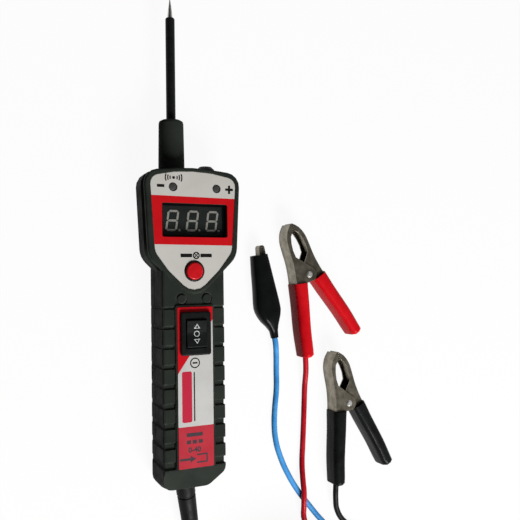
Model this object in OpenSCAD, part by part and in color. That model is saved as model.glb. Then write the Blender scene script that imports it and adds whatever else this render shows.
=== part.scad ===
// Circuit tester for low-voltage direct current, with its probe, lamp, cable, clamps and clip.
// It lies on its back. +Y runs from the cable to the probe tip, +Z out of the display.
// The origin is under the middle of the tester, on the surface that it lies on. Millimetres.

/* [Case] */
// Length of the case, from the cable end to the probe end
case_l = 154.4; // [146:0.2:160]
// Width of the head
head_w = 48.2; // [46:0.2:50]
// Height of the head, from the back to the display rim
case_h = 26; // [25:0.5:28]
// Width of the handle
handle_w = 31.4; // [30:0.2:33]
// Rise of the display rim over the handle's face
rim_rise = 1.2; // [0.8:0.1:2]
// Height of the seam between the covers
seam_z = 11; // [10.5:0.1:11.5]
// Wall of the covers
wall = 2.2; // [1.8:0.1:2.4]
// Depth of the groove under the display rim
rim_groove = 1.2; // [0.6:0.1:1.4]

/* [Handle grip] */
// Number of grip grooves
groove_n = 9; // [6:1:9]
// Distance between grip grooves
groove_pitch = 9.25; // [8:0.05:9.3]
// Width of the groove next to the display
groove_w_first = 1.5; // [1.2:0.1:2]
// Width of the groove next to the cable
groove_w_last = 3.8; // [3:0.1:4.2]
// Depth of the groove next to the cable
groove_d = 1; // [0.7:0.1:1.2]
// Width of the raised panel that carries the label
rib_w = 19.4; // [19:0.1:20]
// Rise of the raised panel
rib_rise = 0.8; // [0.5:0.1:1.2]

/* [Display face] */
// Width of the rim round the face panel
rim_w = 1.9; // [1.4:0.1:2.4]
// Depth of the recess for the face panel
face_drop = 0.8; // [0.6:0.1:1.2]
// Thickness of the face panel
face_t = 0.5; // [0.3:0.1:0.6]
// Width of the window
window_w = 33; // [32:0.1:33.4]
// Height of the window
window_h = 16.3; // [15.4:0.1:16.6]
// Thickness of the window pane
pane_t = 1; // [0.8:0.1:1.4]
// Width of the display module
display_w = 30.2; // [29:0.1:31]
// Height of the display module
display_h = 14.2; // [13:0.1:14.8]
// Height of a digit
digit_h = 10.2; // [8:0.1:11]
// Width of a digit
digit_w = 5.8; // [5:0.1:6]
// Distance between digits
digit_pitch = 10.1; // [9:0.1:10.2]
// Lean of the digits in degrees
digit_lean = 8; // [0:1:10]
// Diameter of an indicator light
led_d = 4.1; // [3:0.1:4.4]
// Distance of the indicator lights from the middle
led_x = 11; // [10:0.1:11.2]

/* [Light button] */
// Diameter of the button
button_d = 8.3; // [7:0.1:9]
// Outer diameter of the ring round the button
button_ring_d = 10; // [9.9:0.1:10.6]
// Travel of the button
button_travel = 0.8; // [0.4:0.1:0.9]

/* [Rocker switch] */
// Width of the switch bezel
bezel_w = 15; // [14.6:0.1:16]
// Length of the switch bezel
bezel_l = 20.6; // [20:0.1:22]
// Height of the switch bezel over the label
bezel_rise = 1.8; // [1.4:0.1:2.4]
// Width of the rocker
rocker_w = 9.8; // [8.6:0.1:10]
// Length of the rocker
rocker_l = 12.9; // [11:0.1:13.2]

/* [Probe and lamp] */
// Distance of the probe from the middle of the case
probe_x = -7; // [-7.2:0.1:-6.8]
// Height of the probe and the lamp over the back
probe_z = 13; // [12.6:0.1:13.4]
// Length of the nose outside the case
nose_out = 24.8; // [22:0.1:30]
// Diameter of the nose at the case
nose_d = 12.8; // [12:0.1:12.9]
// Length of the insulation outside the nose
insulation_out = 51.4; // [40:0.1:60]
// Diameter of the insulation
insulation_d = 4.6; // [4:0.1:4.8]
// Length of the bare tip
tip_out = 10.4; // [8:0.1:14]
// Diameter of the steel rod
rod_d = 2.5; // [2:0.1:2.8]
// Distance of the lamp from the middle of the case
lamp_x = 10.7; // [10.4:0.1:11]
// Diameter of the lamp ring
lamp_d = 9; // [8.4:0.1:9.6]

/* [Cable and leads] */
// Diameter of the main cable
cable_d = 6.5; // [6:0.1:6.6]
// Diameter of the strain relief at the case
relief_d = 9.4; // [9:0.1:10]
// Diameter of a lead
lead_d = 3.1; // [2.6:0.1:3.2]
// Thickness of the tie round the coil
tie_t = 0.8; // [0.6:0.1:1]
// Width of the tie round the coil
tie_w = 9; // [6:0.5:14]

/* [Battery clamps] */
// Length of a jaw, from the rivet to the tip
jaw_l = 29.4; // [28:0.1:30]
// Half the width of the closed jaws
jaw_half = 6.5; // [6:0.1:6.8]
// Outer width of a clamp's wider half
clamp_w = 10; // [9:0.1:10.4]
// Thickness of the clamp's sheet
sheet = 0.8; // [0.6:0.1:0.9]
// Height of a vinyl grip as it lies
grip_h = 12.6; // [12.4:0.1:13]
// Diameter of the clamp's rivet
rivet_d = 2.4; // [2:0.1:2.8]

/* [Crocodile clip] */
// Length of a clip jaw, from the pin to the tip
clip_jaw_l = 20.2; // [19:0.1:21]
// Outer width of the clip's wider half
clip_w = 5.2; // [5.2:0.1:5.8]
// Thickness of the clip's sheet
clip_sheet = 0.5; // [0.4:0.05:0.6]
// Height of the vinyl boot as it lies
boot_h = 9.4; // [9.2:0.1:10]

/* [Hidden] */
$fn = 64;

// Colours
charcoal = [0.17, 0.18, 0.17];
black = [0.07, 0.07, 0.08];
red = [0.78, 0.08, 0.10];
steel = [0.62, 0.60, 0.57];
face_grey = [0.78, 0.77, 0.75];
lead_blue = [0.20, 0.50, 0.78];

// Clearances
seat_gap = 0.1;      // between a fixed piece and its seat
run_gap = 0.05;      // between a pin and its bore, all round
move_gap = 0.2;      // between a button and its ring, all round

// Places along the tester
probe_out = nose_out + insulation_out + tip_out;
y_tip = (case_l + probe_out) / 2;
y_top = y_tip - probe_out;
y_bot = y_top - case_l;
handle_h = case_h - rim_rise;
rib_z = handle_h + rib_rise;
label_t = 0.3;
label_z = rib_z + label_t;
face_z = case_h - face_drop;
plate_z = face_z - wall;
window_y = y_top - 25.4;
led_y = y_top - 9.7;
face_shift = 0.8;    // of the window and the lights, to the right
button_y = y_top - 49.75;
switch_y = y_top - 79.5;
label_top = y_top - 66.9;
label_bot = y_bot + 11.4;
groove_y = y_top - 67.2;
cavity_inset = wall + rim_groove;

// Outlines as belts round circles, each [x, y, radius], anticlockwise
corner_x = head_w / 2 - 6.9;
shoulder_x = head_w / 2 - 12.1;
head_belt = [
    [0, y_top - 51, 9.8],
    [0.6, y_top - 39.2, 17.9],
    [shoulder_x, y_top - 38.2, 10.6],
    [corner_x, y_top - 8.2, 6.9],
    [9, y_top - 6.95, 6.5],
    [0, y_top - 6.5, 6.5],
    [-9, y_top - 6.95, 6.5],
    [-corner_x, y_top - 8.2, 6.9],
    [-shoulder_x, y_top - 38.2, 10.6],
    [-0.6, y_top - 39.2, 17.9]];
face_belt = [
    [0, y_top - 51, 9.8 - rim_w],
    [0.6, y_top - 39.2, 17.9 - rim_w],
    [shoulder_x - 0.4, y_top - 37.8, 10 - rim_w],
    [corner_x - 0.1, y_top - 8.5, 6.5 - rim_w],
    [9, y_top - 7, 6.5 - rim_w],
    [0, y_top - 6.5, 6.5 - rim_w],
    [-9, y_top - 7, 6.5 - rim_w],
    [0.5 - corner_x, y_top - 8.5, 6.5 - rim_w],
    [0.6 - shoulder_x, y_top - 37.8, 10 - rim_w],
    [-0.6, y_top - 39.2, 17.9 - rim_w]];
handle_half = handle_w / 2;
// The end stands back by the first number and its right corner is cut by the second
function handle_belt(back, cut) = [
    [5 - handle_half, y_bot + back + 5, 5],
    [handle_half - 9 - cut, y_bot + back + 5, 5],
    [handle_half - 4.5, y_bot + back + 8.5 + cut / 2, 4.5],
    [handle_half - 4.5, y_top - 38, 4.5],
    [4.5 - handle_half, y_top - 38, 4.5]];
end_back = 1.1;
end_cut = 1.3;
room_back = 6;
// The two pads between the display and the switch
pad_x = 6.3;
pad_y = y_top - 63;
pad_d = 4.7;
// Height and inset of each level of the covers, and for the handle also how its end is shaped
head_rear = [[0, 5], [0.8, 3.2], [2.2, 2.1], [4.5, 1.3], [8, 0.4], [seam_z - 0.4, 0], [seam_z, 0.4]];
handle_rear = [
    [0, 3.6, 0, 0], [0.9, 1.8, 0, 0], [2.4, 0.7, 0, 0], [4.6, 0, 0, 0],
    [seam_z - 0.4, 0, 0, 0], [seam_z, 0.4, 0, 0]];
groove_top = case_h - 2.9;
head_front = [
    [seam_z, 0.4], [seam_z + 0.4, 0], [groove_top - 4.4, 0], [groove_top - 3, rim_groove],
    [groove_top - 1.2, rim_groove], [groove_top, 0.2], [case_h - 0.9, 0.1], [case_h - 0.2, 0.5], [case_h, 1]];
handle_front = [
    [seam_z, 0.4, 0, 0], [seam_z + 0.4, 0, 0, 0], [seam_z + 4, 0, 0, 0], [handle_h - 3, 0, end_back, end_cut],
    [handle_h - 1.1, 0, end_back, end_cut], [handle_h - 0.35, 0.35, end_back, end_cut],
    [handle_h, 1.1, end_back, end_cut]];

// Screws, bosses and the circuit board
screw_sites = [
    [-17.4, y_top - 8.4], [17.4, y_top - 8.4], [-9.6, y_bot + 12], [9.6, y_bot + 12]];
screw_d = 2.9;
screw_head_d = 5.4;
screw_seat = 3.4;
screw_tip = 19;
board_t = 1.6;
board_z = seam_z - board_t;
board_posts = [[-12, y_top - 17], [12, y_top - 17], [-12, y_top - 41], [12, y_top - 41], [0, y_bot + 33]];
display_z = plate_z - pane_t - 0.2;
display_foot = display_z - 7.2;
segment_t = 0.15;
digit_shift = 0.5;
lamp_seat_y = y_top - 1.6;
nose_seat_y = y_top - 6;

// Rocker: its pivot and swing
rocker_swing = 8;
rocker_pivot_z = label_z - 0.5;
rocker_top = label_z + bezel_rise + 0.4;

// Clamps and clip: where the rivet stands and how far the clamp is turned
red_at = [71, -18];
red_turn = 21;
black_at = [95, -90];
black_turn = 13.5;
clamp_z = grip_h / 2;
clip_at = [47.6, -22.1];
clip_turn = 9.3;
clip_z = boot_h / 2;

// Cable and lead routes, points chosen by hand
relief_start = [-1, y_bot, 10.5];
relief_end = [4, y_bot - 27.5, 5.5];
coil_at = [57.5, -216];
coil_turn_r = 39;
coil_layers = 4;
coil_columns = 3;
coil_z = tie_t;
cable_route = [
    relief_end, [5.8, -158, 3.7], [8, -170, 3.3], [10, -184, 3.3], [11.4, -200, 3.6], [12, -216, 4.1]];
cable_end_route = [
    [57.5, -261.5, 23.5], [70, -260.3, 21], [82, -256.8, 17.5], [93, -251, 13.5], [103, -243, 9.5],
    [111, -234, 6.3], [117, -225, 4.4], [120.8, -216.5, 3.7], [122.2, -209, 3.6], [122.2, -202, 3.6]];
split_start = [122.2, -202, 3.6];
split_end = [122.2, -182, 2.4];
blue_route = [
    [52.5, -51.9, 4.7], [53.1, -55.6, 4.6], [53.9, -61, 3.4], [54.6, -70, 1.8], [54.6, -80, 1.6],
    [53.5, -90, 1.6], [53, -99, 1.6], [53.8, -108, 1.6], [56.4, -117, 1.6],
    [61.2, -127.5, 1.6], [67.3, -137.4, 1.6], [73.5, -145.5, 1.6],
    [80.4, -154, 1.6], [88, -161.5, 1.6], [97, -167, 1.6], [108, -169.8, 1.6], [117, -171.5, 1.8],
    [121.5, -176, 2.1], [122.2, -182, 2.4]];
red_route = [
    [70.4, -63.5, 6.3], [71.3, -71, 4.8], [71.7, -80, 2.4], [71.6, -90, 1.6], [71, -101, 1.6],
    [70.3, -112, 1.6], [69.6, -122, 1.8], [69, -130, 3.6], [68.8, -137, 5.1], [69, -144, 4.4],
    [70.2, -152, 2], [73.6, -160, 1.6], [80.5, -167, 1.6], [90, -171.5, 1.6], [101, -173.8, 1.6],
    [111, -174.6, 1.8], [117, -177, 2.1], [118.9, -182, 2.4]];
black_route = [
    [88.4, -135, 6.3], [89, -143, 4.8], [91.2, -151, 2.6], [96, -158, 1.6], [103.5, -163, 1.6],
    [113, -165.2, 1.6], [121, -168, 1.8], [125, -174, 2.1], [125.5, -182, 2.4]];

// Geometry helpers
function angle_of(v) = atan2(v[1], v[0]);
function belt_normal(a, b) =
    angle_of([b[0] - a[0], b[1] - a[1]]) - acos((a[2] - b[2]) / norm([b[0] - a[0], b[1] - a[1]]));
function turn_to(a, b) = (b - a) - 360 * floor((b - a + 0.01) / 360);
function belt(c, inset = 0, steps = 4) = [
    for (i = [0:len(c) - 1])
        let (
            before = c[(i + len(c) - 1) % len(c)],
            after = c[(i + 1) % len(c)],
            start = belt_normal(before, c[i]),
            sweep = turn_to(start, belt_normal(c[i], after)))
        for (k = [0:steps])
            let (a = start + sweep * k / steps)
            [c[i][0] + (c[i][2] - inset) * cos(a), c[i][1] + (c[i][2] - inset) * sin(a)]];
function corners(x, y, r) = [[-x + r, -y + r, r], [x - r, -y + r, r], [x - r, y - r, r], [-x + r, y - r, r]];
function at_height(points, z) = [for (p = points) [p[0], p[1], z]];
function unit(v) = v / norm(v);
function tangent(p, i) =
    i == 0 ? unit(p[1] - p[0]) :
    i == len(p) - 1 ? unit(p[i] - p[i - 1]) :
    unit(unit(p[i + 1] - p[i]) + unit(p[i] - p[i - 1]));
function cross_ring(c, t, r, n) =
    let (side = unit(cross([0, 0, 1], t)), up = cross(t, side))
    [for (k = [0:n - 1]) c + r * (cos(360 * k / n) * side + sin(360 * k / n) * up)];
function curve_point(a, b, c, d, t) =
    0.5 * ((2 * b) + (c - a) * t + (2 * a - 5 * b + 4 * c - d) * t * t + (3 * b - a - 3 * c + d) * t * t * t);
function smooth(p, steps) = concat(
    [for (i = [0:len(p) - 2], k = [0:steps - 1])
        curve_point(p[max(i - 1, 0)], p[i], p[i + 1], p[min(i + 2, len(p) - 1)], k / steps)],
    [p[len(p) - 1]]);
// The path moved sideways by a at its start and b at its end, positive to the right
function tapered(p, a, b) = [
    for (i = [0:len(p) - 1])
        let (t = tangent(p, i), d = a + (b - a) * i / (len(p) - 1))
        [p[i][0] + d * t[1], p[i][1] - d * t[0]]];
function shifted(p, d) = tapered(p, d, d);
function reversed(p) = [for (i = [len(p) - 1:-1:0]) p[i]];
function arc(r, from, to, steps) = [
    for (k = [0:steps])
        let (a = from + (to - from) * k / steps)
        [r * cos(a), r * sin(a)]];

// A closed skin over rings with the same number of points
module stack(rings) {
    n = len(rings[0]);
    m = len(rings);
    points = [for (ring = rings) each ring];
    sides = [
        for (j = [0:m - 2], i = [0:n - 1])
            let (k = (i + 1) % n)
            [j * n + i, (j + 1) * n + i, (j + 1) * n + k, j * n + k]];
    bottom = [[for (i = [0:n - 1]) i]];
    top = [[for (i = [n - 1:-1:0]) (m - 1) * n + i]];
    polyhedron(points, concat(bottom, sides, top), convexity = 8);
}

module belt_stack(c, levels, steps = 4) {
    stack([for (level = levels) at_height(belt(c, level[1], steps), level[0])]);
}

module handle_stack(levels) {
    stack([for (level = levels) at_height(belt(handle_belt(level[2], level[3]), level[1]), level[0])]);
}

module plate(c, z, t, inset = 0) {
    translate([0, 0, z]) linear_extrude(t) polygon(belt(c, inset));
}

module tube(route, d, sides) {
    stack([for (i = [0:len(route) - 1]) cross_ring(route[i], tangent(route, i), d / 2, sides)]);
}

// Turns local +Z to point along v
module point_along(v) {
    rotate([0, acos(v[2] / norm(v)), atan2(v[1], v[0])]) children();
}

module along_y(at) {
    translate(at) rotate([-90, 0, 0]) children();
}

module block(x, y, z0, z1) {
    translate([-x / 2, -y / 2, z0]) cube([x, y, z1 - z0]);
}

// Case
module groove_bar(length, w, d) {
    linear_extrude(length) polygon([
        [-d, w / 2 - 0.5 * d], [-d, 0.5 * d - w / 2], [0, -w / 2], [3, -w / 2], [3, w / 2], [0, w / 2]]);
}

// The grooves grow wider and deeper towards the cable
module grip_grooves() {
    side_l = handle_half + 1 - rib_w / 2 - 0.3;
    for (i = [0:groove_n - 1]) {
        w = groove_w_first + (groove_w_last - groove_w_first) * i / (groove_n - 1);
        d = groove_d * (0.6 + 0.4 * i / (groove_n - 1));
        translate([0, groove_y - i * groove_pitch, 0]) {
            translate([handle_half, 0, -1]) groove_bar(case_h, w, d);
            translate([-handle_half, 0, -1]) mirror([1, 0, 0]) groove_bar(case_h, w, d);
            translate([handle_half + 1, 0, handle_h]) rotate([0, -90, 0]) groove_bar(side_l, w, d);
            translate([-rib_w / 2 - 0.3, 0, handle_h]) rotate([0, -90, 0]) groove_bar(side_l, w, d);
        }
    }
}

module end_openings() {
    along_y([probe_x, y_top - 12, probe_z]) cylinder(d = nose_d + 2 * seat_gap, h = 20);
    along_y([lamp_x, y_top - 12, probe_z]) cylinder(d = 6.4 + 2 * seat_gap, h = 20);
    along_y([lamp_x, lamp_seat_y, probe_z]) cylinder(d = lamp_d + 2 * seat_gap, h = 10);
    along_y([relief_start[0], y_bot - 5, relief_start[2]]) cylinder(d = 7.4 + 2 * seat_gap, h = 12);
}

module nose_seat(z0, z1) {
    translate([probe_x - 7.4, nose_seat_y + seat_gap, z0]) cube([14.8, 4, z1 - z0]);
}

// The front roll at the cable end
module end_roll() {
    translate([0, y_bot + 10.7, handle_h]) rotate([15.5, 0, 0]) translate([-30, -20, 0]) cube([60, 20, 10]);
}

module front_cover() color(charcoal) {
    difference() {
        union() {
            belt_stack(head_belt, head_front);
            handle_stack(handle_front);
            belt_stack(rib_belt, [[handle_h - 0.5, 0], [rib_z - 0.25, 0], [rib_z, 0.25]]);
            for (x = [-pad_x, pad_x])
                translate([x, pad_y, handle_h - 0.5]) cylinder(d1 = pad_d, d2 = pad_d - 0.8, h = 1);
        }
        for (x = [-pad_x, pad_x])
            translate([x, pad_y, handle_h - 0.3])
                difference() {
                    cylinder(d = pad_d + 1, h = 1);
                    cylinder(d = pad_d, h = 1);
                }
        difference() {
            union() {
                belt_stack(head_belt, [[seam_z - 1, cavity_inset], [plate_z, cavity_inset]]);
                handle_stack([
                    [seam_z - 1, wall, 0, 0], [seam_z + 6, wall, 0, 0],
                    [handle_h - wall, wall, room_back, 0]]);
            }
            nose_seat(seam_z - 2, plate_z + 1);
            for (s = screw_sites) translate([s[0], s[1], seam_z]) cylinder(d = 6, h = 20);
        }
        for (s = screw_sites)
            translate([s[0], s[1], seam_z - 1])
                cylinder(d = screw_d + 2 * run_gap, h = screw_tip - seam_z + 1.5);
        plate(face_belt, face_z, 5);
        translate([face_shift, window_y, 0]) {
            plate(window_belt, plate_z - 1, case_h);
            block(window_w + 2.2, window_h + 2.2, plate_z - pane_t - 0.1, plate_z);
        }
        for (x = [-led_x, led_x])
            translate([x + face_shift, led_y, plate_z - 1]) cylinder(d = led_d + 2 * seat_gap, h = 5);
        translate([0, button_y, plate_z - 1]) cylinder(d = button_ring_d + 2 * seat_gap, h = 5);
        translate([0, switch_y, 0])
            block(12.8 + 2 * seat_gap, 17.4 + 2 * seat_gap, seam_z - 1, case_h + 5);
        grip_grooves();
        end_roll();
        end_openings();
    }
}

window_belt = corners(window_w / 2, window_h / 2, 0.9);
rib_top = y_top - 65.9;
rib_bot = y_bot + 10.8;
rib_belt = [
    [-rib_w / 2 + 1, rib_bot + 1, 1], [rib_w / 2 - 1, rib_bot + 1, 1],
    [rib_w / 2 - 1, rib_top - 1, 1], [-rib_w / 2 + 1, rib_top - 1, 1]];

module rear_cover() color(charcoal) {
    difference() {
        union() {
            belt_stack(head_belt, head_rear);
            handle_stack(handle_rear);
        }
        difference() {
            union() {
                belt_stack(head_belt, [
                    [wall, cavity_inset + 1.2], [5, cavity_inset], [seam_z + 1, cavity_inset]]);
                handle_stack([[wall, wall + 1, 0, 0], [5, wall, 0, 0], [seam_z + 1, wall, 0, 0]]);
            }
            nose_seat(0, seam_z + 2);
            for (s = screw_sites) translate([s[0], s[1], 0]) cylinder(d = 7.4, h = seam_z);
            for (p = board_posts) translate([p[0], p[1], 0]) cylinder(d = 4, h = board_z);
        }
        for (s = screw_sites)
            translate([s[0], s[1], -1]) {
                cylinder(d = screw_d + 0.4, h = seam_z + 2);
                cylinder(d = screw_head_d + 0.6, h = screw_seat + 1);
            }
        grip_grooves();
        end_openings();
    }
}

module case_screws() color(steel) {
    for (s = screw_sites)
        translate([s[0], s[1], 0])
            difference() {
                union() {
                    translate([0, 0, screw_seat - 2]) cylinder(d = screw_head_d, h = 2);
                    translate([0, 0, screw_seat - 0.5])
                        cylinder(d = screw_d, h = screw_tip - screw_seat + 0.5);
                }
                for (a = [0, 90])
                    rotate([0, 0, a]) translate([-1.6, -0.35, 0]) cube([3.2, 0.7, screw_seat - 1]);
            }
}

// Display face
module face_panel() color(face_grey) {
    difference() {
        plate(face_belt, face_z, face_t, seat_gap);
        translate([face_shift, window_y, 0]) plate(window_belt, face_z - 1, case_h);
        for (x = [-led_x, led_x])
            translate([x + face_shift, led_y, face_z - 1]) cylinder(d = led_d + 2 * seat_gap, h = 5);
        translate([0, button_y, face_z - 1]) cylinder(d = button_ring_d + 2 * seat_gap, h = 5);
    }
}

module display_window() color([0.2, 0.2, 0.22, 0.4]) {
    translate([face_shift, window_y, 0]) block(window_w + 2, window_h + 2, plate_z - pane_t, plate_z);
}

module display_module() color(black) {
    translate([face_shift, window_y, 0]) {
        block(display_w, display_h, display_foot, display_z);
        for (x = [-5:5], y = [-1, 1])
            translate([x * 2.54, y * display_h * 0.42, board_z + board_t])
                cylinder(d = 0.6, h = display_foot + 0.5 - board_z - board_t);
    }
}

// One bar of a digit, along X, with pointed ends
module digit_bar(length, t) {
    polygon([
        [-length / 2, 0], [-length / 2 + t / 2, -t / 2], [length / 2 - t / 2, -t / 2],
        [length / 2, 0], [length / 2 - t / 2, t / 2], [-length / 2 + t / 2, t / 2]]);
}

module digit() {
    t = 1;
    half = (digit_h - t) / 2;
    bar = digit_w - t;
    multmatrix([[1, tan(digit_lean), 0, 0], [0, 1, 0, 0], [0, 0, 1, 0], [0, 0, 0, 1]])
        linear_extrude(segment_t) {
            for (y = [-half, 0, half]) translate([0, y]) digit_bar(bar - 0.3, t);
            for (x = [-bar / 2, bar / 2], y = [-half / 2, half / 2])
                translate([x, y]) rotate(90) digit_bar(half - 0.3, t);
        }
    translate([digit_w / 2 + 0.6, -half, 0]) cylinder(d = 1.1, h = segment_t, $fn = 24);
}

module display_segments() color([0.75, 0.75, 0.73]) {
    for (i = [-1:1]) translate([i * digit_pitch + digit_shift, window_y, display_z]) digit();
}

module indicator_led(x) color([0.55, 0.55, 0.55]) {
    top = face_z + face_t - 0.1;
    foot = plate_z - 2.8;
    r = led_d / 2;
    translate([x + face_shift, led_y, 0]) {
        rotate_extrude() polygon(concat(
            [[0, foot], [r + 0.4, foot], [r + 0.4, foot + 1], [r, foot + 1]],
            [for (a = [0:15:90]) [r * cos(a), top - 0.7 + 0.7 * sin(a)]]));
        for (s = [-1.27, 1.27]) translate([s, 0, seam_z]) cylinder(d = 0.6, h = foot + 0.5 - seam_z);
    }
}

module led_minus() {
    indicator_led(-led_x);
}

module led_plus() {
    indicator_led(led_x);
}

// Light button
button_top = case_h + 1;
button_foot = plate_z - move_gap;
stem_end = seam_z + 5.5;
module light_button() color(red) {
    r = button_d / 2;
    translate([0, button_y, 0]) {
        rotate_extrude() polygon(concat(
            [[0, button_foot - 1.2], [r + 1.1, button_foot - 1.2], [r + 1.1, button_foot], [r, button_foot]],
            [for (a = [0:15:90]) [r - 0.8 + 0.8 * cos(a), button_top - 0.8 + 0.8 * sin(a)]],
            [[0, button_top + 0.15]]));
        translate([0, 0, stem_end]) cylinder(d = 3, h = button_foot - 1.2 - stem_end);
    }
}

module button_ring() color(black) {
    translate([0, button_y, plate_z])
        difference() {
            rotate_extrude() polygon([
                [0, 0], [button_ring_d / 2, 0], [button_ring_d / 2, case_h - plate_z - 0.1],
                [button_ring_d / 2 - 0.3, case_h - plate_z + 0.2], [0, case_h - plate_z + 0.2]]);
            translate([0, 0, -1]) cylinder(d = button_d + 2 * move_gap, h = 20);
        }
}

plunger_d = 3.4;
module button_switch() color(black) {
    translate([0, button_y, 0])
        difference() {
            block(6, 6, seam_z, seam_z + 3.5);
            translate([0, 0, seam_z + 1]) cylinder(d = plunger_d + 2 * run_gap, h = 5);
        }
}

module switch_plunger() color([0.8, 0.78, 0.7]) {
    translate([0, button_y, seam_z + 1 + button_travel + 0.2])
        cylinder(d = plunger_d, h = stem_end - seam_z - 1.2 - button_travel);
}

// Rocker switch
module rocker_housing() color(black) {
    gap = 0.35;
    well_w = rocker_w + 2 * gap;
    well_l = rocker_l + 1.1;
    bezel = corners(bezel_w / 2, bezel_l / 2, 1.2);
    translate([0, switch_y, 0])
        difference() {
            union() {
                belt_stack(bezel, [
                    [label_z, 0], [label_z + bezel_rise - 0.5, 0], [label_z + bezel_rise - 0.1, 0.3],
                    [label_z + bezel_rise, 0.7]]);
                block(12.8, 17.4, seam_z + 3, label_z + 0.5);
                for (y = [-5, 0, 5]) translate([0, y, 0]) block(2.8, 0.8, seam_z, seam_z + 3.5);
            }
            block(well_w, well_l, rocker_pivot_z - 5.4, case_h + 10);
            translate([0, 0, rocker_pivot_z]) rotate([0, 90, 0])
                cylinder(d = 2.4 + 2 * run_gap, h = well_w + 2, center = true);
        }
}

module rocker() color(black) {
    half = rocker_l / 2;
    top = rocker_top - rocker_pivot_z;
    translate([0, switch_y, rocker_pivot_z]) {
        rotate([90, 0, 90]) translate([0, 0, -rocker_w / 2]) linear_extrude(rocker_w) polygon([
            [-half + 1.2, -4.2], [half - 1.2, -4.2], [half, -1.5], [half, top + 0.4], [half - 0.4, top + 0.8],
            [0.6, top], [-0.6, top], [0.4 - half, top + 0.8], [-half, top + 0.4], [-half, -1.5]]);
        rotate([0, 90, 0]) cylinder(d = 2.4, h = rocker_w + 2.4, center = true);
    }
}

module handle_label() color(red) {
    label_belt = [
        [-8.2, label_bot + 0.6, 0.6], [8.2, label_bot + 0.6, 0.6],
        [8.2, label_top - 0.6, 0.6], [-8.2, label_top - 0.6, 0.6]];
    difference() {
        plate(label_belt, rib_z, label_t);
        translate([0, switch_y, 0]) block(12.8 + 2 * seat_gap, 17.4 + 2 * seat_gap, 0, case_h + 5);
    }
}

// Inside pieces
module circuit_board() color([0.10, 0.35, 0.18]) {
    translate([0, 0, board_z]) linear_extrude(board_t) polygon([
        [-9, y_bot + 20], [9, y_bot + 20], [9, y_top - 50], [15.5, y_top - 43], [16, y_top - 14.5],
        [13, y_top - 8.6], [-13, y_top - 8.6], [-16, y_top - 14.5], [-15.5, y_top - 43], [-9, y_top - 50]]);
}

buzzer_h = handle_h - wall - seam_z - 3.1;
module buzzer() color(black) {
    translate([0, switch_y - 19, seam_z])
        difference() {
            cylinder(d = 12, h = buzzer_h);
            translate([0, 0, buzzer_h - 1.5]) cylinder(d = 2, h = 3);
        }
}

module power_relay() color([0.15, 0.25, 0.5]) {
    translate([0, switch_y - 36, 0]) {
        block(10, 15, seam_z + 0.5, handle_h - wall - 1.1);
        for (x = [-3.5, 3.5], y = [-6, 6]) translate([x, y, seam_z]) cylinder(d = 0.8, h = 1);
    }
}

// Lamp
module lamp_light() color([0.95, 0.95, 0.9]) {
    along_y([lamp_x, y_top - 8, probe_z]) {
        rotate_extrude() polygon(concat(
            [[0, 0], [2.9, 0], [2.9, 1], [2.5, 1]],
            [for (a = [0:15:90]) [2.5 * cos(a), 8.2 + 2.5 * sin(a)]]));
    }
}

module lamp_ring() color(black) {
    along_y([lamp_x, y_top - 7, probe_z])
        difference() {
            union() {
                cylinder(d = 6.4, h = 6.4);
                translate([0, 0, 5.4]) cylinder(d = lamp_d, h = 3);
                translate([0, 0, 8.4]) cylinder(d1 = lamp_d, d2 = 6, h = 1.4);
            }
            translate([0, 0, -1]) cylinder(d = 5 + 2 * run_gap, h = 12);
        }
}

// Probe
insulation_neck = insulation_d / 2 - 0.3;
module nose_sleeve() color(charcoal) {
    r = nose_d / 2;
    bore = 3.05;
    end = nose_out + 6;
    hole = insulation_neck + run_gap;
    along_y([probe_x, nose_seat_y, probe_z])
        rotate_extrude() polygon([
            [bore, -2], [r + 0.4, -2], [r + 0.4, -0.2], [r, -0.2], [r, 9], [r - 0.3, end - 1.6],
            [r - 0.6, end - 0.6], [r - 1.6, end], [hole, end], [hole, end - 4], [bore, end - 4]]);
}

socket_l = nose_out + 1.9;
module probe_socket() color([0.80, 0.65, 0.30]) {
    along_y([probe_x, nose_seat_y, probe_z])
        difference() {
            cylinder(d = 6, h = socket_l);
            translate([0, 0, 3]) cylinder(d = rod_d + 2 * run_gap, h = socket_l);
        }
}

module probe_rod() color(steel) {
    length = probe_out + 3 - tip_out;
    along_y([probe_x, nose_seat_y + 3, probe_z])
        rotate_extrude() polygon([
            [0, 0], [rod_d / 2, 0], [rod_d / 2, length + 1], [rod_d / 2 - 0.35, length + tip_out * 0.45],
            [0.12, length + tip_out - 0.2], [0, length + tip_out]]);
}

module probe_insulation() color(black) {
    inside = 3.6;
    r = insulation_d / 2;
    along_y([probe_x, y_top + nose_out - inside, probe_z])
        difference() {
            rotate_extrude() polygon([
                [0, 0], [insulation_neck, 0], [insulation_neck, inside], [r, inside],
                [r, inside + insulation_out - 0.5], [r - 0.4, inside + insulation_out],
                [0, inside + insulation_out]]);
            translate([0, 0, -1]) cylinder(d = rod_d + 2 * run_gap, h = inside + insulation_out + 2);
        }
}

// Cable
module strain_relief() color(black) {
    lean = relief_end - relief_start;
    length = norm(lean);
    r = relief_d / 2;
    end_r = cable_d / 2 + 0.7;
    along_y([relief_start[0], y_bot, relief_start[2]]) {
        cylinder(d = 7.4, h = 5);
        translate([0, 0, wall + seat_gap]) cylinder(d = 10, h = 1.8);
    }
    difference() {
        translate(relief_start) point_along(lean) translate([0, 0, -3]) rotate_extrude() polygon([
            [0, 0], [r, 0], [r, 8], [r - 0.5, 8.6], [r - 0.5, 9.2], [r - 0.15, 9.6],
            [end_r, length + 2.4], [end_r - 0.4, length + 3], [0, length + 3]]);
        translate([-20, y_bot, 0]) cube([40, 20, 30]);
    }
}

module main_cable() color(black) {
    tube(cable_route, cable_d, 12);
}

module main_cable_end() color(black) {
    tube(cable_end_route, cable_d, 12);
}

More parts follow.
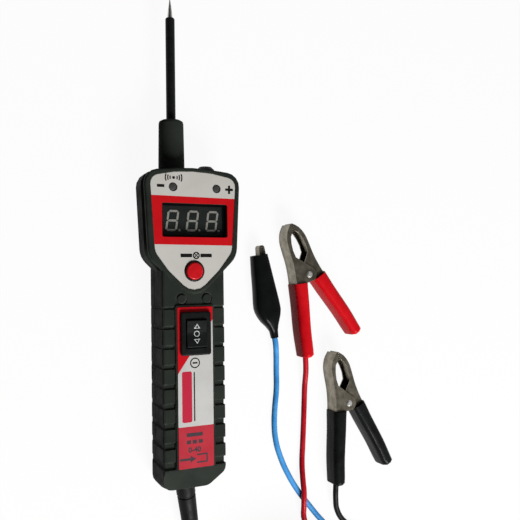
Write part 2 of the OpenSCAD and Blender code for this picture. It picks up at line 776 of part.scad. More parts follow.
coil_half = coil_columns * cable_d / 2;
coil_h = coil_layers * cable_d;
module cable_coil() color(black) {
    r = cable_d / 2;
    translate([coil_at[0], coil_at[1], coil_z]) rotate_extrude($fn = 72)
        translate([coil_turn_r, coil_h / 2]) polygon(belt(corners(coil_half, coil_h / 2, r), 0, 5));
}

module coil_tie() color([0.15, 0.15, 0.16]) {
    outer = corners(coil_half + tie_t, coil_h / 2 + tie_t, cable_d / 2 + tie_t);
    inner = corners(coil_half, coil_h / 2, cable_d / 2);
    translate([coil_at[0], coil_at[1], coil_z]) rotate([0, 0, 45])
        translate([coil_turn_r, tie_w / 2, coil_h / 2]) rotate([90, 0, 0]) linear_extrude(tie_w)
            difference() {
                polygon(belt(outer, 0, 5));
                polygon(belt(inner, 0, 5));
            }
}

// The moulding where the cable becomes three leads
function split_section(p, w, h) = [
    for (q = belt(corners(w, h, min(w, h) * 0.9), 0, 3)) [p[0] - q[0], p[1], p[2] + q[1]]];

module cable_split() color(black) {
    stack([
        split_section(split_start, 3.5, 3.5),
        split_section(split_start + [0, 6, 0], 3.55, 3.55),
        split_section(split_start + [0, 12, -0.6], 5, 2.9),
        split_section(split_end, 5.6, 2.3)]);
}

module blue_lead() color(lead_blue) {
    tube(blue_route, lead_d, 8);
}

module red_lead() color(red) {
    tube(red_route, lead_d, 8);
}

module black_lead() color(black) {
    tube(black_route, lead_d, 8);
}

// Battery clamps. Each half is a channel of folded sheet: a web along its back, two flanges with
// an ear round the rivet, and toothed jaw edges. The right half is drawn and the left is its mirror.
web_points = [
    [0.75, jaw_l], [3.9, jaw_l - 3.2], [jaw_half - 0.6, jaw_l - 7.9], [jaw_half, jaw_l - 13],
    [jaw_half + 0.45, 8.8], [8.2, 1.6], [9.7, -4.2], [11.9, -13], [15.9, -27], [18.2, -37.5]];
web_path = smooth(web_points, 3);
grip_points = [for (p = web_path) if (p[1] < -2) p];
flange_depth = 6;
flange_taper = 1.5;
ear_r = 4.4;
tooth = 0.6;
tooth_pitch = 1.2;
function handle_edge(depth) = tapered(grip_points, depth, depth - flange_taper);
flange_outline = concat(
    web_path,
    reversed(handle_edge(flange_depth)),
    arc(ear_r, 248, 128, 10),
    [[jaw_half - 2.2, jaw_l - 17.8], [jaw_half - 1.9, jaw_l - 14], [jaw_half - 2.4, jaw_l - 10]],
    [[jaw_half - 3.5, jaw_l - 6.4], [1.3, jaw_l - 4.6]],
    [for (k = [3:-1:1]) each [
        [0.16, jaw_l - 0.5 - tooth_pitch * k], [0.16 + tooth, jaw_l - 0.4 - tooth_pitch * (k - 0.5)]]],
    [[0.16, jaw_l - 0.75]]);

module jaw(half_width) {
    difference() {
        union() {
            translate([0, 0, -half_width]) linear_extrude(2 * half_width)
                polygon(concat(web_path, reversed(shifted(web_path, sheet))));
            for (z = [-half_width, half_width - sheet])
                translate([0, 0, z]) linear_extrude(sheet) polygon(flange_outline);
        }
        cylinder(d = rivet_d + 2 * run_gap, h = 30, center = true);
    }
}

// Height and inset of each level of a grip, rounded towards its flat sides
grip_round = 3;
grip_levels = [
    for (a = [0, 30, 60, 90]) [grip_h / 2 - grip_round * (1 - sin(90 - a)), grip_round * (1 - cos(90 - a))]];

module vinyl_grip() {
    last = len(grip_points) - 1;
    out = tangent(grip_points, last);
    function back(e) = concat(
        grip_points, [for (d = [1.5, 3.2, 4.3]) grip_points[last] + d * (1 - 0.15 * e) * out]);
    function skin(e) = concat(
        [for (i = [0:last + 2]) tapered(back(e), e - 1, e - 1)[i]],
        [for (d = [0.9 + 0.4 * e, 3.7 - 0.4 * e]) shifted(back(e), d)[last + 3]],
        reversed([for (i = [0:last + 2]) tapered(back(e), 7.1 - e, 5.4 - e)[i]]));
    cavity = concat(grip_points, reversed(handle_edge(flange_depth)));
    mouth = [
        grip_points[0] + [1.2, 0.6], grip_points[0], handle_edge(flange_depth)[0],
        handle_edge(flange_depth)[0] + [0, 3]];
    difference() {
        stack(concat(
            [for (k = [0:3]) at_height(reversed(skin(grip_levels[k][1])), -grip_levels[k][0])],
            [for (k = [3:-1:0]) at_height(reversed(skin(grip_levels[k][1])), grip_levels[k][0])]));
        translate([0, 0, -clamp_w / 2]) linear_extrude(clamp_w) polygon(cavity);
        translate([0, 0, -clamp_w / 2]) linear_extrude(clamp_w) polygon(mouth);
    }
}

module rivet() {
    h = clamp_w / 2;
    cylinder(d = rivet_d, h = clamp_w + 0.4, center = true);
    for (m = [0, 1])
        mirror([0, 0, m]) translate([0, 0, h + 0.05]) cylinder(d1 = rivet_d + 1.3, d2 = rivet_d, h = 0.7);
}

// Closed coil of a torsion spring, with a leg to each half
module torsion_spring(coil_d, wire, coil_l, leg, reach) {
    difference() {
        cylinder(d = coil_d, h = coil_l, center = true);
        cylinder(d = coil_d - 2 * wire, h = coil_l + 1, center = true);
    }
    for (m = [0, 1])
        mirror([m, 0, 0]) translate([(coil_d - wire) / 2, 0, (2 * m - 1) * (coil_l / 2 - 0.6 * wire)])
            rotate([0, 0, reach]) rotate([90, 0, 0]) cylinder(d = 0.9 * wire, h = leg, $fn = 16);
}

module place_clamp(at, turn) {
    translate([at[0], at[1], clamp_z]) rotate([0, 0, turn]) children();
}

inner_half = clamp_w / 2 - sheet - 0.1;
module fixed_jaw() {
    mirror([1, 0, 0]) jaw(clamp_w / 2);
}

module moving_jaw() {
    jaw(inner_half);
}

module clamp_spring() {
    torsion_spring(5.4, 1, 5.6, 11, 34);
}

module red_fixed_jaw() color(steel) {
    place_clamp(red_at, red_turn) fixed_jaw();
}

module red_moving_jaw() color(steel) {
    place_clamp(red_at, red_turn) moving_jaw();
}

module red_rivet() color(steel) {
    place_clamp(red_at, red_turn) rivet();
}

module red_spring() color(steel) {
    place_clamp(red_at, red_turn) clamp_spring();
}

module red_fixed_grip() color(red) {
    place_clamp(red_at, red_turn) mirror([1, 0, 0]) vinyl_grip();
}

module red_moving_grip() color(red) {
    place_clamp(red_at, red_turn) vinyl_grip();
}

module black_fixed_jaw() color(steel) {
    place_clamp(black_at, black_turn) fixed_jaw();
}

module black_moving_jaw() color(steel) {
    place_clamp(black_at, black_turn) moving_jaw();
}

module black_rivet() color(steel) {
    place_clamp(black_at, black_turn) rivet();
}

module black_spring() color(steel) {
    place_clamp(black_at, black_turn) clamp_spring();
}

module black_fixed_grip() color(black) {
    place_clamp(black_at, black_turn) mirror([1, 0, 0]) vinyl_grip();
}

module black_moving_grip() color(black) {
    place_clamp(black_at, black_turn) vinyl_grip();
}

// Crocodile clip: a fixed half that holds the lead and a moving half with a thumb lever
clip_fixed_path = smooth([
    [0.8, clip_jaw_l], [1.5, clip_jaw_l - 0.7], [1.8, clip_jaw_l - 2], [2.9, 8], [3.9, 0], [5, -9],
    [4.8, -15.5], [2.6, -20.5], [1.2, -22.5]], 2);
clip_moving_path = smooth([
    [0.8, clip_jaw_l], [1.5, clip_jaw_l - 0.7], [1.7, clip_jaw_l - 2], [2.3, 8],
    [2.9, 0], [3.5, -9], [4, -16]], 2);
clip_ear_r = 2.2;
function clip_flange(path, tail_depth) = concat(
    path,
    reversed(shifted([for (p = path) if (p[1] < -3) p], tail_depth)),
    arc(clip_ear_r, 260, 100, 6),
    [[0.15, 5], [0.15, clip_jaw_l - 8]],
    [for (k = [5:-1:1]) each [[0.15, clip_jaw_l - 1.1 * (k + 0.2)], [0.55, clip_jaw_l - 1.1 * (k - 0.4)]]],
    [[0.15, clip_jaw_l]]);

module clip_half(path, half_width, tail_depth) {
    difference() {
        union() {
            translate([0, 0, -half_width]) linear_extrude(2 * half_width)
                polygon(concat(path, reversed(shifted(path, clip_sheet))));
            for (z = [-half_width, half_width - clip_sheet])
                translate([0, 0, z]) linear_extrude(clip_sheet) polygon(clip_flange(path, tail_depth));
        }
        cylinder(d = 1.6 + 2 * run_gap, h = 20, center = true);
    }
}

module place_clip() {
    translate([clip_at[0], clip_at[1], clip_z]) rotate([0, 0, clip_turn]) children();
}

module clip_fixed_jaw() color(steel) {
    place_clip() mirror([1, 0, 0]) clip_half(clip_fixed_path, clip_w / 2, 1.4);
}

module clip_moving_jaw() color(steel) {
    place_clip() clip_half(clip_moving_path, clip_w / 2 - clip_sheet - 0.1, 1.8);
}

module clip_pin() color(steel) {
    place_clip() {
        cylinder(d = 1.6, h = clip_w + 0.3, center = true);
        for (m = [0, 1])
            mirror([0, 0, m]) translate([0, 0, clip_w / 2 + 0.03]) cylinder(d1 = 2.6, d2 = 1.8, h = 0.35);
    }
}

module clip_spring() color(steel) {
    place_clip() torsion_spring(3.4, 0.5, 2.6, 8, 7);
}

// Each section of the boot: place along the clip, middle, half width and half height
boot_sections = [
    [15.3, -1.5, 4.4, 0.9], [6.5, -1.6, 5.3, 0.96], [-1.6, -1.6, 6, 1], [-9.8, -1.7, 6.9, 1],
    [-12.8, -1.7, 7.1, 1], [-15.3, -1.5, 6.9, 1], [-18, -1.3, 6.1, 0.97], [-20.7, -1.1, 4.9, 0.9],
    [-23.5, -0.5, 3.3, 0.72], [-26.3, 0, 2.2, 0.5], [-30.2, 0, 1.9, 0.43]];
function boot_ring(s, wall_t) = [
    let (half_w = s[2] - wall_t, half_h = s[3] * boot_h / 2 - wall_t)
    for (q = belt(corners(half_w, half_h, half_h * 0.7), 0, 3))
        [s[1] + q[0], s[0], q[1]]];

module clip_boot() color(black) {
    skin = 0.7;
    n = len(boot_sections) - 1;
    place_clip()
        difference() {
            stack([for (i = [0:n]) boot_ring(boot_sections[i], 0)]);
            stack(concat(
                [boot_ring(boot_sections[0] + [1, 0, 0, 0], skin)],
                [for (i = [0:n - 2]) boot_ring(boot_sections[i], skin)]));
        }
}

front_cover();
rear_cover();
case_screws();
face_panel();
display_window();
display_module();
display_segments();
led_minus();
led_plus();
light_button();
button_ring();
button_switch();
switch_plunger();
rocker_housing();
rocker();
handle_label();
circuit_board();
buzzer();
power_relay();
lamp_light();
lamp_ring();
nose_sleeve();
probe_socket();
probe_rod();
probe_insulation();
strain_relief();
main_cable();
cable_coil();
coil_tie();
main_cable_end();
cable_split();
blue_lead();
red_lead();
black_lead();
red_fixed_jaw();
red_moving_jaw();
red_rivet();
red_spring();
red_fixed_grip();
red_moving_grip();
black_fixed_jaw();
black_moving_jaw();
black_rivet();
black_spring();
black_fixed_grip();
black_moving_grip();
clip_fixed_jaw();
clip_moving_jaw();
clip_pin();
clip_spring();
clip_boot();
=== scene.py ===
from math import cos, pi, radians, sin

import bmesh
import bpy
from mathutils import Matrix, Vector


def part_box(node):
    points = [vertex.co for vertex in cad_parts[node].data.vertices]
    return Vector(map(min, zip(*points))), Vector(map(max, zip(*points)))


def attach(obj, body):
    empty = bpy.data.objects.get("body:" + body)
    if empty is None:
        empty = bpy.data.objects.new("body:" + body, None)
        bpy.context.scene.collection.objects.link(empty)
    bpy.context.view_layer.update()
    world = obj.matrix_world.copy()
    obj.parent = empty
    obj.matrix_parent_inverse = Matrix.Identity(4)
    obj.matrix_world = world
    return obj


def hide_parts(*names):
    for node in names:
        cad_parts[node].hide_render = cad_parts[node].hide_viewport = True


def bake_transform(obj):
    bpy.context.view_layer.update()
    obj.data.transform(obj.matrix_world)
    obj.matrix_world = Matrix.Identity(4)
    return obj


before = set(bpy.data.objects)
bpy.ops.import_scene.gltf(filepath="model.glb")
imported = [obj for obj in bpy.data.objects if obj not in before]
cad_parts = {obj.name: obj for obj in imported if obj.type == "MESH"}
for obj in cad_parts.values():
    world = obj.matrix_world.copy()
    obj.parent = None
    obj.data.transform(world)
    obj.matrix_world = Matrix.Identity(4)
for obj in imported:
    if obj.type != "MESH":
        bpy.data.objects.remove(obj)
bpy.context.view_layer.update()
mm = 0.001

# Camera. It looks down on the bench from the left of the tester, turned a little
# about the case's length, with a lens that matches the photograph's perspective.
eye = Vector((-0.10251, -0.01997, 0.3212))
swing, lift, roll = radians(24.9), radians(1.65), radians(-0.8)
ahead = Vector((sin(swing), 0, -cos(swing)))
side = Vector((cos(swing), 0, sin(swing)))
up = Vector((0, 1, 0))
look = cos(lift) * ahead + sin(lift) * up
above = cos(lift) * up - sin(lift) * ahead
right = cos(roll) * side + sin(roll) * above
top = cos(roll) * above - sin(roll) * side


def linked(name, data):
    """A new object of this data, put into the scene."""
    made = bpy.data.objects.new(name, data)
    bpy.context.scene.collection.objects.link(made)
    return made


lens = bpy.data.cameras.new("camera")
lens.lens = 45
lens.sensor_width = 36
lens.clip_start = 0.01
camera = linked("camera", lens)
turned = Matrix((right, top, -look)).transposed().to_4x4()
camera.matrix_world = Matrix.Translation(eye) @ turned
bpy.context.scene.camera = camera

# Main cable. A round black rubber sheath over three cores, soft and matt. It leaves the
# strain relief, is wound into a storage coil of eleven turns and a bit, and ends in the split.
cable_d = 6.5
coil_at = (57.5, -216.0)
coil_low, coil_turn_r = 0.8, 39.0
turns_across, turns_wound = 3, 11.25
relief_end = (4, -148, 5.5)
cable_route = [
    relief_end, (5.8, -158, 3.7), (8, -170, 3.3), (10, -184, 3.3), (11.4, -200, 3.6), (12, -216, 4.1)]
cable_end_route = [
    (57.5, -261.5, 23.5), (70, -260.3, 21), (82, -256.8, 17.5), (93, -251, 13.5), (103, -243, 9.5),
    (111, -234, 6.3), (117, -225, 4.4), (120.8, -216.5, 3.7), (122.2, -209, 3.6), (122.2, -202, 3.6)]


def wound(turn):
    """Radius and height of the cable's middle after so many turns of the coil."""
    layer, through = divmod(turn, turns_across)
    across = min(through, turns_across - 1)
    climb = max(through - (turns_across - 1), 0)
    inward = across if layer % 2 == 0 else turns_across - 1 - across
    radius = coil_turn_r + cable_d * ((turns_across - 1) / 2 - inward)
    return radius, coil_low + cable_d * (0.5 + layer + climb)


coil_route = []
steps_a_turn = 24
for step in range(int(turns_wound * steps_a_turn) + 1):
    radius, height = wound(step / steps_a_turn)
    angle = pi + 2 * pi * step / steps_a_turn
    coil_route.append((coil_at[0] + radius * cos(angle), coil_at[1] + radius * sin(angle), height))


def cord_curve(name, route, diameter):
    """A round cord along the route's points, which are in millimetres."""
    curve = bpy.data.curves.new(name, "CURVE")
    curve.dimensions = "3D"
    curve.bevel_depth = diameter / 2 * mm
    curve.bevel_resolution = 5
    curve.resolution_u = 6
    curve.use_fill_caps = True
    spline = curve.splines.new("BEZIER")
    spline.bezier_points.add(len(route) - 1)
    for point, place in zip(spline.bezier_points, route):
        point.co = Vector(place) * mm
        point.handle_left_type = point.handle_right_type = "AUTO"
    return linked(name, curve)


def node(tree, kind, inputs=None, family="ShaderNode", **settings):
    """Adds a node. An input is a number, a colour or another node's output."""
    made = tree.nodes.new(family + kind)
    for name, value in settings.items():
        setattr(made, name, value)
    for name, value in (inputs or {}).items():
        if isinstance(value, bpy.types.NodeSocket):
            tree.links.new(value, made.inputs[name])
        else:
            made.inputs[name].default_value = value
    return made


def srgb(code):
    """A colour written as six hexadecimal digits, as Blender's linear values."""
    parts = [int(code[i:i + 2], 16) / 255 for i in (0, 2, 4)]
    return [((p + 0.055) / 1.055) ** 2.4 if p > 0.04045 else p / 12.92 for p in parts] + [1]


def new_finish(name, metallic=0.0, specular=0.5, coat=0.0):
    """A material with its shader and its coordinates, which are the object's own in metres."""
    material = bpy.data.materials.new(name)
    material.use_nodes = True
    tree = material.node_tree
    shader = tree.nodes["Principled BSDF"]
    shader.inputs["Metallic"].default_value = metallic
    shader.inputs["Specular IOR Level"].default_value = specular
    shader.inputs["Coat Weight"].default_value = coat
    place = node(tree, "TexCoord").outputs["Object"]
    return material, tree, shader, place


def cloud(tree, place, size, detail=3.0, stretch=(1, 1, 1), roughness=0.55):
    """Noise with patches of about this size in millimetres, drawn out along the stretched axes."""
    scaled = node(tree, "Mapping", {"Vector": place, "Scale": [1 / s for s in stretch]})
    return node(tree, "TexNoise", {
        "Vector": scaled.outputs["Vector"], "Scale": 1 / (size * mm), "Detail": detail,
        "Roughness": roughness}).outputs["Fac"]


def levels(tree, value, low, high, dark=0.0, light=1.0):
    """Spreads a value that runs from low to high over dark to light."""
    spread = node(tree, "MapRange", {
        "Value": value, "From Min": low, "From Max": high, "To Min": dark, "To Max": light})
    return spread.outputs["Result"]


def patchy(tree, place, size, detail=3.0, low=0.0, high=1.0):
    """Soft patches of this size in millimetres, as noise of mostly 0.3 to 0.7 spread from low to high."""
    return levels(tree, cloud(tree, place, size, detail), 0.3, 0.7, low, high)


def blended(tree, share, first, second):
    """Two colours, or a colour's output, mixed by a share."""
    mix = node(tree, "Mix", data_type="RGBA")
    for socket, value in ((mix.inputs[0], share), (mix.inputs[6], first), (mix.inputs[7], second)):
        if isinstance(value, bpy.types.NodeSocket):
            tree.links.new(value, socket)
        else:
            socket.default_value = value
    return mix.outputs[2]


def set_colour(tree, shader, share, first, second):
    """The base colour, mixed by a share from two colours written in hexadecimal digits."""
    tree.links.new(blended(tree, share, srgb(first), srgb(second)), shader.inputs["Base Color"])


def relief(tree, shader, heights, soft_edge):
    """Bumps, each a height map and its depth in millimetres, over edges rounded in the shading."""
    normal = node(tree, "Bevel", {"Radius": soft_edge * mm}, samples=4).outputs["Normal"]
    for height, depth in heights:
        bump = node(tree, "Bump", {"Height": height, "Distance": depth * mm, "Normal": normal})
        normal = bump.outputs["Normal"]
    tree.links.new(normal, shader.inputs["Normal"])


def sheath(name, dark, light, low_gloss, high_gloss, grain):
    """Soft cord covering: faint mottling, a skin with fine grain, and dull rubbed patches."""
    material, tree, shader, place = new_finish(name, specular=0.1)
    patches = patchy(tree, place, 9)
    set_colour(tree, shader, patches, dark, light)
    rubbed = levels(tree, cloud(tree, place, 5, 4), 0.35, 0.7, low_gloss, high_gloss)
    tree.links.new(rubbed, shader.inputs["Roughness"])
    fine = cloud(tree, place, 0.35, 2)
    waves = cloud(tree, place, 6, 1)
    relief(tree, shader, [(fine, grain), (waves, 0.12)], 0.3)
    return material


black_sheath = sheath("black_sheath", "101110", "1b1c1b", 0.42, 0.6, 0.02)
main_route = cable_route[:-1] + coil_route + cable_end_route[1:]
main_cable = cord_curve("main_cable_sheath", main_route, cable_d)
main_cable.data.materials.append(black_sheath)
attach(main_cable, "tester")
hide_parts("main_cable", "cable_coil", "main_cable_end")


# Strap round the coil. A hook-and-loop band woven of nylon, with its ribs across the band. It
# is drawn round the turns and pressed onto itself, with its rounded end on top.
def dress(material, *names):
    """Gives a material to CAD nodes whose own shape is kept."""
    for name in names:
        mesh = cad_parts[name].data
        mesh.materials.clear()
        mesh.materials.append(material)


rib_scale, rib_waver = 160.0, 0.6
strap, tree, shader, place = new_finish("woven_strap", specular=0.3)
rib = node(
    tree, "TexWave", {"Vector": place, "Scale": rib_scale, "Distortion": rib_waver},
    bands_direction="DIAGONAL")
loops = cloud(tree, place, 0.5, 2)
set_colour(tree, shader, loops, "17181a", "2e3033")
tree.links.new(levels(tree, loops, 0.3, 0.7, 0.75, 0.95), shader.inputs["Roughness"])
relief(tree, shader, [(rib.outputs["Fac"], 0.12), (loops, 0.1)], 0.2)
dress(strap, "coil_tie")
strap_turn = 45
strap_top, strap_end_t, strap_end_sunk = 27.6, 0.7, 0.02
strap_end_l, strap_end_w, strap_end_r = 11.0, 8.6, 1.2
same_spot = 0.001


def rounded_bar(x, y, width, height, radius, steps=6):
    """The outline of a bar with round corners."""
    corners = ((1, 1, 0), (-1, 1, 90), (-1, -1, 180), (1, -1, 270))
    return [[
        (x + sx * (width / 2 - radius) + radius * cos(radians(first + 90 * i / steps)),
         y + sy * (height / 2 - radius) + radius * sin(radians(first + 90 * i / steps)))
        for sx, sy, first in corners for i in range(steps + 1)]]


def raised(outlines, low, high):
    """A closed mesh of these outlines, from a height over x and y up by a thickness."""
    build = bmesh.new()
    for outline in outlines:
        build.faces.new([build.verts.new((x * mm, y * mm, low(x, y) * mm)) for x, y in outline])
    bmesh.ops.remove_doubles(build, verts=build.verts, dist=same_spot * mm)
    lifted = bmesh.ops.extrude_face_region(build, geom=build.faces[:])["geom"]
    bmesh.ops.translate(
        build, verts=[v for v in lifted if isinstance(v, bmesh.types.BMVert)], vec=(0, 0, high * mm))
    bmesh.ops.recalc_face_normals(build, faces=build.faces)
    mesh = bpy.data.meshes.new("raised")
    build.to_mesh(mesh)
    build.free()
    return mesh


def placed(name, mesh, turn, at):
    """An object at the origin with this mesh turned about Z and moved, in degrees and millimetres."""
    mesh.transform(Matrix.Translation(Vector(at) * mm) @ Matrix.Rotation(radians(turn), 4, "Z"))
    mesh.name = name
    return linked(name, mesh)


strap_end_outline = rounded_bar(0, 0, strap_end_l, strap_end_w, strap_end_r)
strap_end_mesh = raised(strap_end_outline, lambda x, y: -strap_end_sunk, strap_end_t)
strap_end_mesh.materials.append(strap)
strap_way = radians(strap_turn)
strap_mid = (
    coil_at[0] + coil_turn_r * cos(strap_way), coil_at[1] + coil_turn_r * sin(strap_way), strap_top)
strap_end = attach(placed("strap_end", strap_end_mesh, strap_turn, strap_mid), "tester")

# Stitches. The strap's end is sewn down with two rows of twisted grey thread across the band.
# Each stitch is a short arch whose two ends go into the weave.
stitch_count, stitch_pitch, stitch_l = 5, 1.55, 1.1
row_count, row_pitch = 2, 7.6
thread_d, stitch_sunk, twist_scale = 0.3, 0.05, 900.0
thread, tree, shader, place = new_finish("grey_thread", specular=0.3)
twisted = node(tree, "TexWave", {"Vector": place, "Scale": twist_scale}, bands_direction="DIAGONAL")
twist = twisted.outputs["Fac"]
set_colour(tree, shader, twist, "55575a", "7c7e80")
shader.inputs["Roughness"].default_value = 0.8
relief(tree, shader, [(twist, 0.03)], 0.05)


def shape_node(tree, kind, inputs=None, **settings):
    return node(tree, kind, inputs, family="GeometryNode", **settings)


def plain_mesh(piece):
    """The mesh that an object shows, with its modifiers or its letters made real."""
    bpy.context.view_layer.update()
    return bpy.data.meshes.new_from_object(piece.evaluated_get(bpy.context.evaluated_depsgraph_get()))


def grower(name, sizes):
    """A Geometry Nodes tree with named sizes and a material, its inputs and its two last nodes."""
    tree = bpy.data.node_groups.new(name, "GeometryNodeTree")
    for size, kind in list(sizes.items()) + [("Material", "Material")]:
        tree.interface.new_socket(size, in_out="INPUT", socket_type="NodeSocket" + kind)
    tree.interface.new_socket("Geometry", in_out="OUTPUT", socket_type="NodeSocketGeometry")
    inputs = tree.nodes.new("NodeGroupInput").outputs
    whole = shape_node(tree, "RealizeInstances")
    dressed = shape_node(tree, "SetMaterial", {
        "Geometry": whole.outputs["Geometry"], "Material": inputs["Material"]})
    tree.links.new(dressed.outputs["Geometry"], tree.nodes.new("NodeGroupOutput").inputs["Geometry"])
    return tree, inputs, whole


def grown(tree, values):
    """The plain mesh that a tree makes from values for its named inputs."""
    holder = linked("holder", bpy.data.meshes.new("holder"))
    modifier = holder.modifiers.new("grow", "NODES")
    modifier.node_group = tree
    for socket in tree.interface.items_tree:
        if socket.in_out == "INPUT":
            modifier[socket.identifier] = values[socket.name]
    mesh = plain_mesh(holder)
    bpy.data.objects.remove(holder)
    return mesh


def number(tree, first, operation, second):
    return node(tree, "Math", {0: first, 1: second}, operation=operation).outputs["Value"]


def vector(tree, x, y, z):
    return node(tree, "CombineXYZ", {"X": x, "Y": y, "Z": z}).outputs["Vector"]


def wire_mesh(tree, curve, diameter, sides):
    """A round wire along a curve, with closed ends and smooth shading."""
    ring = shape_node(tree, "CurvePrimitiveCircle", {
        "Resolution": sides, "Radius": number(tree, diameter, "DIVIDE", 2.0)})
    tube = shape_node(tree, "CurveToMesh", {
        "Curve": curve, "Profile Curve": ring.outputs["Curve"], "Fill Caps": True})
    smooth = shape_node(tree, "SetShadeSmooth", {"Geometry": tube.outputs["Mesh"]})
    return smooth.outputs["Geometry"]


sewing, sizes, whole = grower("stitch_rows", {
    "Stitches": "Int", "Rows": "Int", "Stitch Pitch": "Float", "Row Pitch": "Float",
    "Stitch Length": "Float", "Thread": "Float"})
gaps_along = number(sewing, sizes["Stitches"], "SUBTRACT", 1.0)
gaps_across = number(sewing, sizes["Rows"], "SUBTRACT", 1.0)
spots = shape_node(sewing, "MeshGrid", {
    "Size X": number(sewing, gaps_along, "MULTIPLY", sizes["Stitch Pitch"]),
    "Size Y": number(sewing, gaps_across, "MULTIPLY", sizes["Row Pitch"]),
    "Vertices X": sizes["Stitches"], "Vertices Y": sizes["Rows"]})
half_stitch = number(sewing, sizes["Stitch Length"], "DIVIDE", 2.0)
arch = shape_node(sewing, "CurveQuadraticBezier", {
    "Resolution": 6, "Start": vector(sewing, number(sewing, half_stitch, "MULTIPLY", -1.0), 0.0, 0.0),
    "Middle": vector(sewing, 0.0, 0.0, half_stitch), "End": vector(sewing, half_stitch, 0.0, 0.0)})
sewn = shape_node(sewing, "InstanceOnPoints", {
    "Points": spots.outputs["Mesh"],
    "Instance": wire_mesh(sewing, arch.outputs["Curve"], sizes["Thread"], 6)})
sewing.links.new(sewn.outputs["Instances"], whole.inputs["Geometry"])
stitch_mesh = grown(sewing, {
    "Stitches": stitch_count, "Rows": row_count, "Stitch Pitch": stitch_pitch * mm,
    "Row Pitch": row_pitch * mm, "Stitch Length": stitch_l * mm, "Thread": thread_d * mm,
    "Material": thread})
sewn_at = strap_mid[:2] + (strap_top + strap_end_t - stitch_sunk,)
stitches = placed("strap_stitches", stitch_mesh, strap_turn + 90, sewn_at)
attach(stitches, "tester")

# Leads. Three soft vinyl-covered wires leave the split: blue to the clip, red and black
# to the battery clamps. Each lies on the bench and rises to its fitting.
lead_d, low = 3.1, 1.6
lead_routes = {
    "blue": [
        (52.5, -51.9, 4.7), (53.1, -55.6, 4.6), (53.9, -61, 3.4), (54.6, -70, 1.8), (54.6, -80, low),
        (53.5, -90, low), (53, -99, low), (53.8, -108, low), (56.4, -117, low), (61.2, -127.5, low),
        (67.3, -137.4, low), (73.5, -145.5, low), (80.4, -154, low), (88, -161.5, low), (97, -167, low),
        (108, -169.8, low), (117, -171.5, 1.8), (121.5, -176, 2.1), (122.2, -182, 2.4)],
    "red": [
        (70.4, -63.5, 6.3), (71.3, -71, 4.8), (71.7, -80, 2.4), (71.6, -90, low), (71, -101, low),
        (70.3, -112, low), (69.6, -122, 1.8), (69, -130, 3.6), (68.8, -137, 5.1), (69, -144, 4.4),
        (70.2, -152, 2), (73.6, -160, low), (80.5, -167, low), (90, -171.5, low), (101, -173.8, low),
        (111, -174.6, 1.8), (117, -177, 2.1), (118.9, -182, 2.4)],
    "black": [
        (88.4, -135, 6.3), (89, -143, 4.8), (91.2, -151, 2.6), (96, -158, low), (103.5, -163, low),
        (113, -165.2, low), (121, -168, 1.8), (125, -174, 2.1), (125.5, -182, 2.4)]}
lead_looks = {
    "blue": (sheath("blue_sheath", "368bd4", "52a3e4", 0.3, 0.45, 0.01), "lead_blue"),
    "red": (sheath("red_sheath", "ad1420", "c4202b", 0.25, 0.4, 0.01), "lead_red"),
    "black": (black_sheath, "cable_black")}
leads = {}
for colour, route in lead_routes.items():
    lead = cord_curve(colour + "_lead_sheath", route[::-1], lead_d)
    look, slot = lead_looks[colour]
    lead.data.materials.append(look)
    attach(lead, "tester")
    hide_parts(colour + "_lead")
    leads[colour] = lead

# Split. A moulded block in which the cable's cores part, and the strain relief at the case, a
# tapered sleeve. Both are of the cable's own black rubber and moulded onto it.
merge_within, level_within, bend_within = 0.004, 0.002, 0.4


def cap_again(build):
    """Fills the flat top and bottom anew, so that no triangle lies across a hollow in the outline."""
    heights = [v.co.z for v in build.verts]
    for level in (min(heights), max(heights)):
        flat = {f for f in build.faces if all(abs(v.co.z - level) < level_within * mm for v in f.verts)}
        rim = {e for f in flat for e in f.edges if sum(g in flat for g in e.link_faces) == 1}
        if flat:
            bmesh.ops.delete(build, geom=list(flat), context="FACES")
            bmesh.ops.holes_fill(build, edges=list(rim))
    bmesh.ops.recalc_face_normals(build, faces=build.faces)


def eased(name, piece_name, material, smooth_angle=40):
    """A copy of a CAD node in its place, with small facets shaded smooth and large faces kept flat."""
    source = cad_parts[name]
    mesh = source.data.copy()
    mesh.name = piece_name
    build = bmesh.new()
    build.from_mesh(mesh)
    bmesh.ops.remove_doubles(build, verts=build.verts, dist=merge_within * mm)
    cap_again(build)
    bmesh.ops.dissolve_limit(
        build, angle_limit=radians(bend_within), verts=build.verts, edges=build.edges)
    build.to_mesh(mesh)
    build.free()
    if mesh.attributes.get("custom_normal"):
        mesh.attributes.remove(mesh.attributes["custom_normal"])
    mesh.materials.clear()
    mesh.materials.append(material)
    mesh.shade_smooth()
    mesh.set_sharp_from_angle(angle=radians(smooth_angle))
    piece = linked(piece_name, mesh)
    weigh = piece.modifiers.new("weigh", "WEIGHTED_NORMAL")
    weigh.keep_sharp = True
    weighed = plain_mesh(piece)
    piece.modifiers.clear()
    piece.data = weighed
    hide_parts(name)
    return piece


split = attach(eased("cable_split", "split_moulding", black_sheath), "tester")
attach(eased("strain_relief", "relief_sleeve", black_sheath), "tester")


# Case. Two covers, held by screws from the back, and the nose sleeve, moulded in charcoal
# plastic with a fine spark-eroded grain. Handling has polished them a little, and their edges
# are rubbed lighter in places.
def edge_wear(tree, place, width, amount):
    """One along sharp edges, broken up by patches, and nothing elsewhere."""
    rounded = node(tree, "Bevel", {"Radius": width * mm}, samples=4).outputs["Normal"]
    flat = node(tree, "NewGeometry").outputs["Normal"]
    bend = node(tree, "VectorMath", {0: rounded, 1: flat}, operation="DOT_PRODUCT").outputs["Value"]
    edge = levels(tree, bend, 0.985, 0.86)
    broken = levels(tree, cloud(tree, place, 3.5), 0.42, 0.62)
    return number(tree, number(tree, edge, "MULTIPLY", broken), "MULTIPLY", amount)


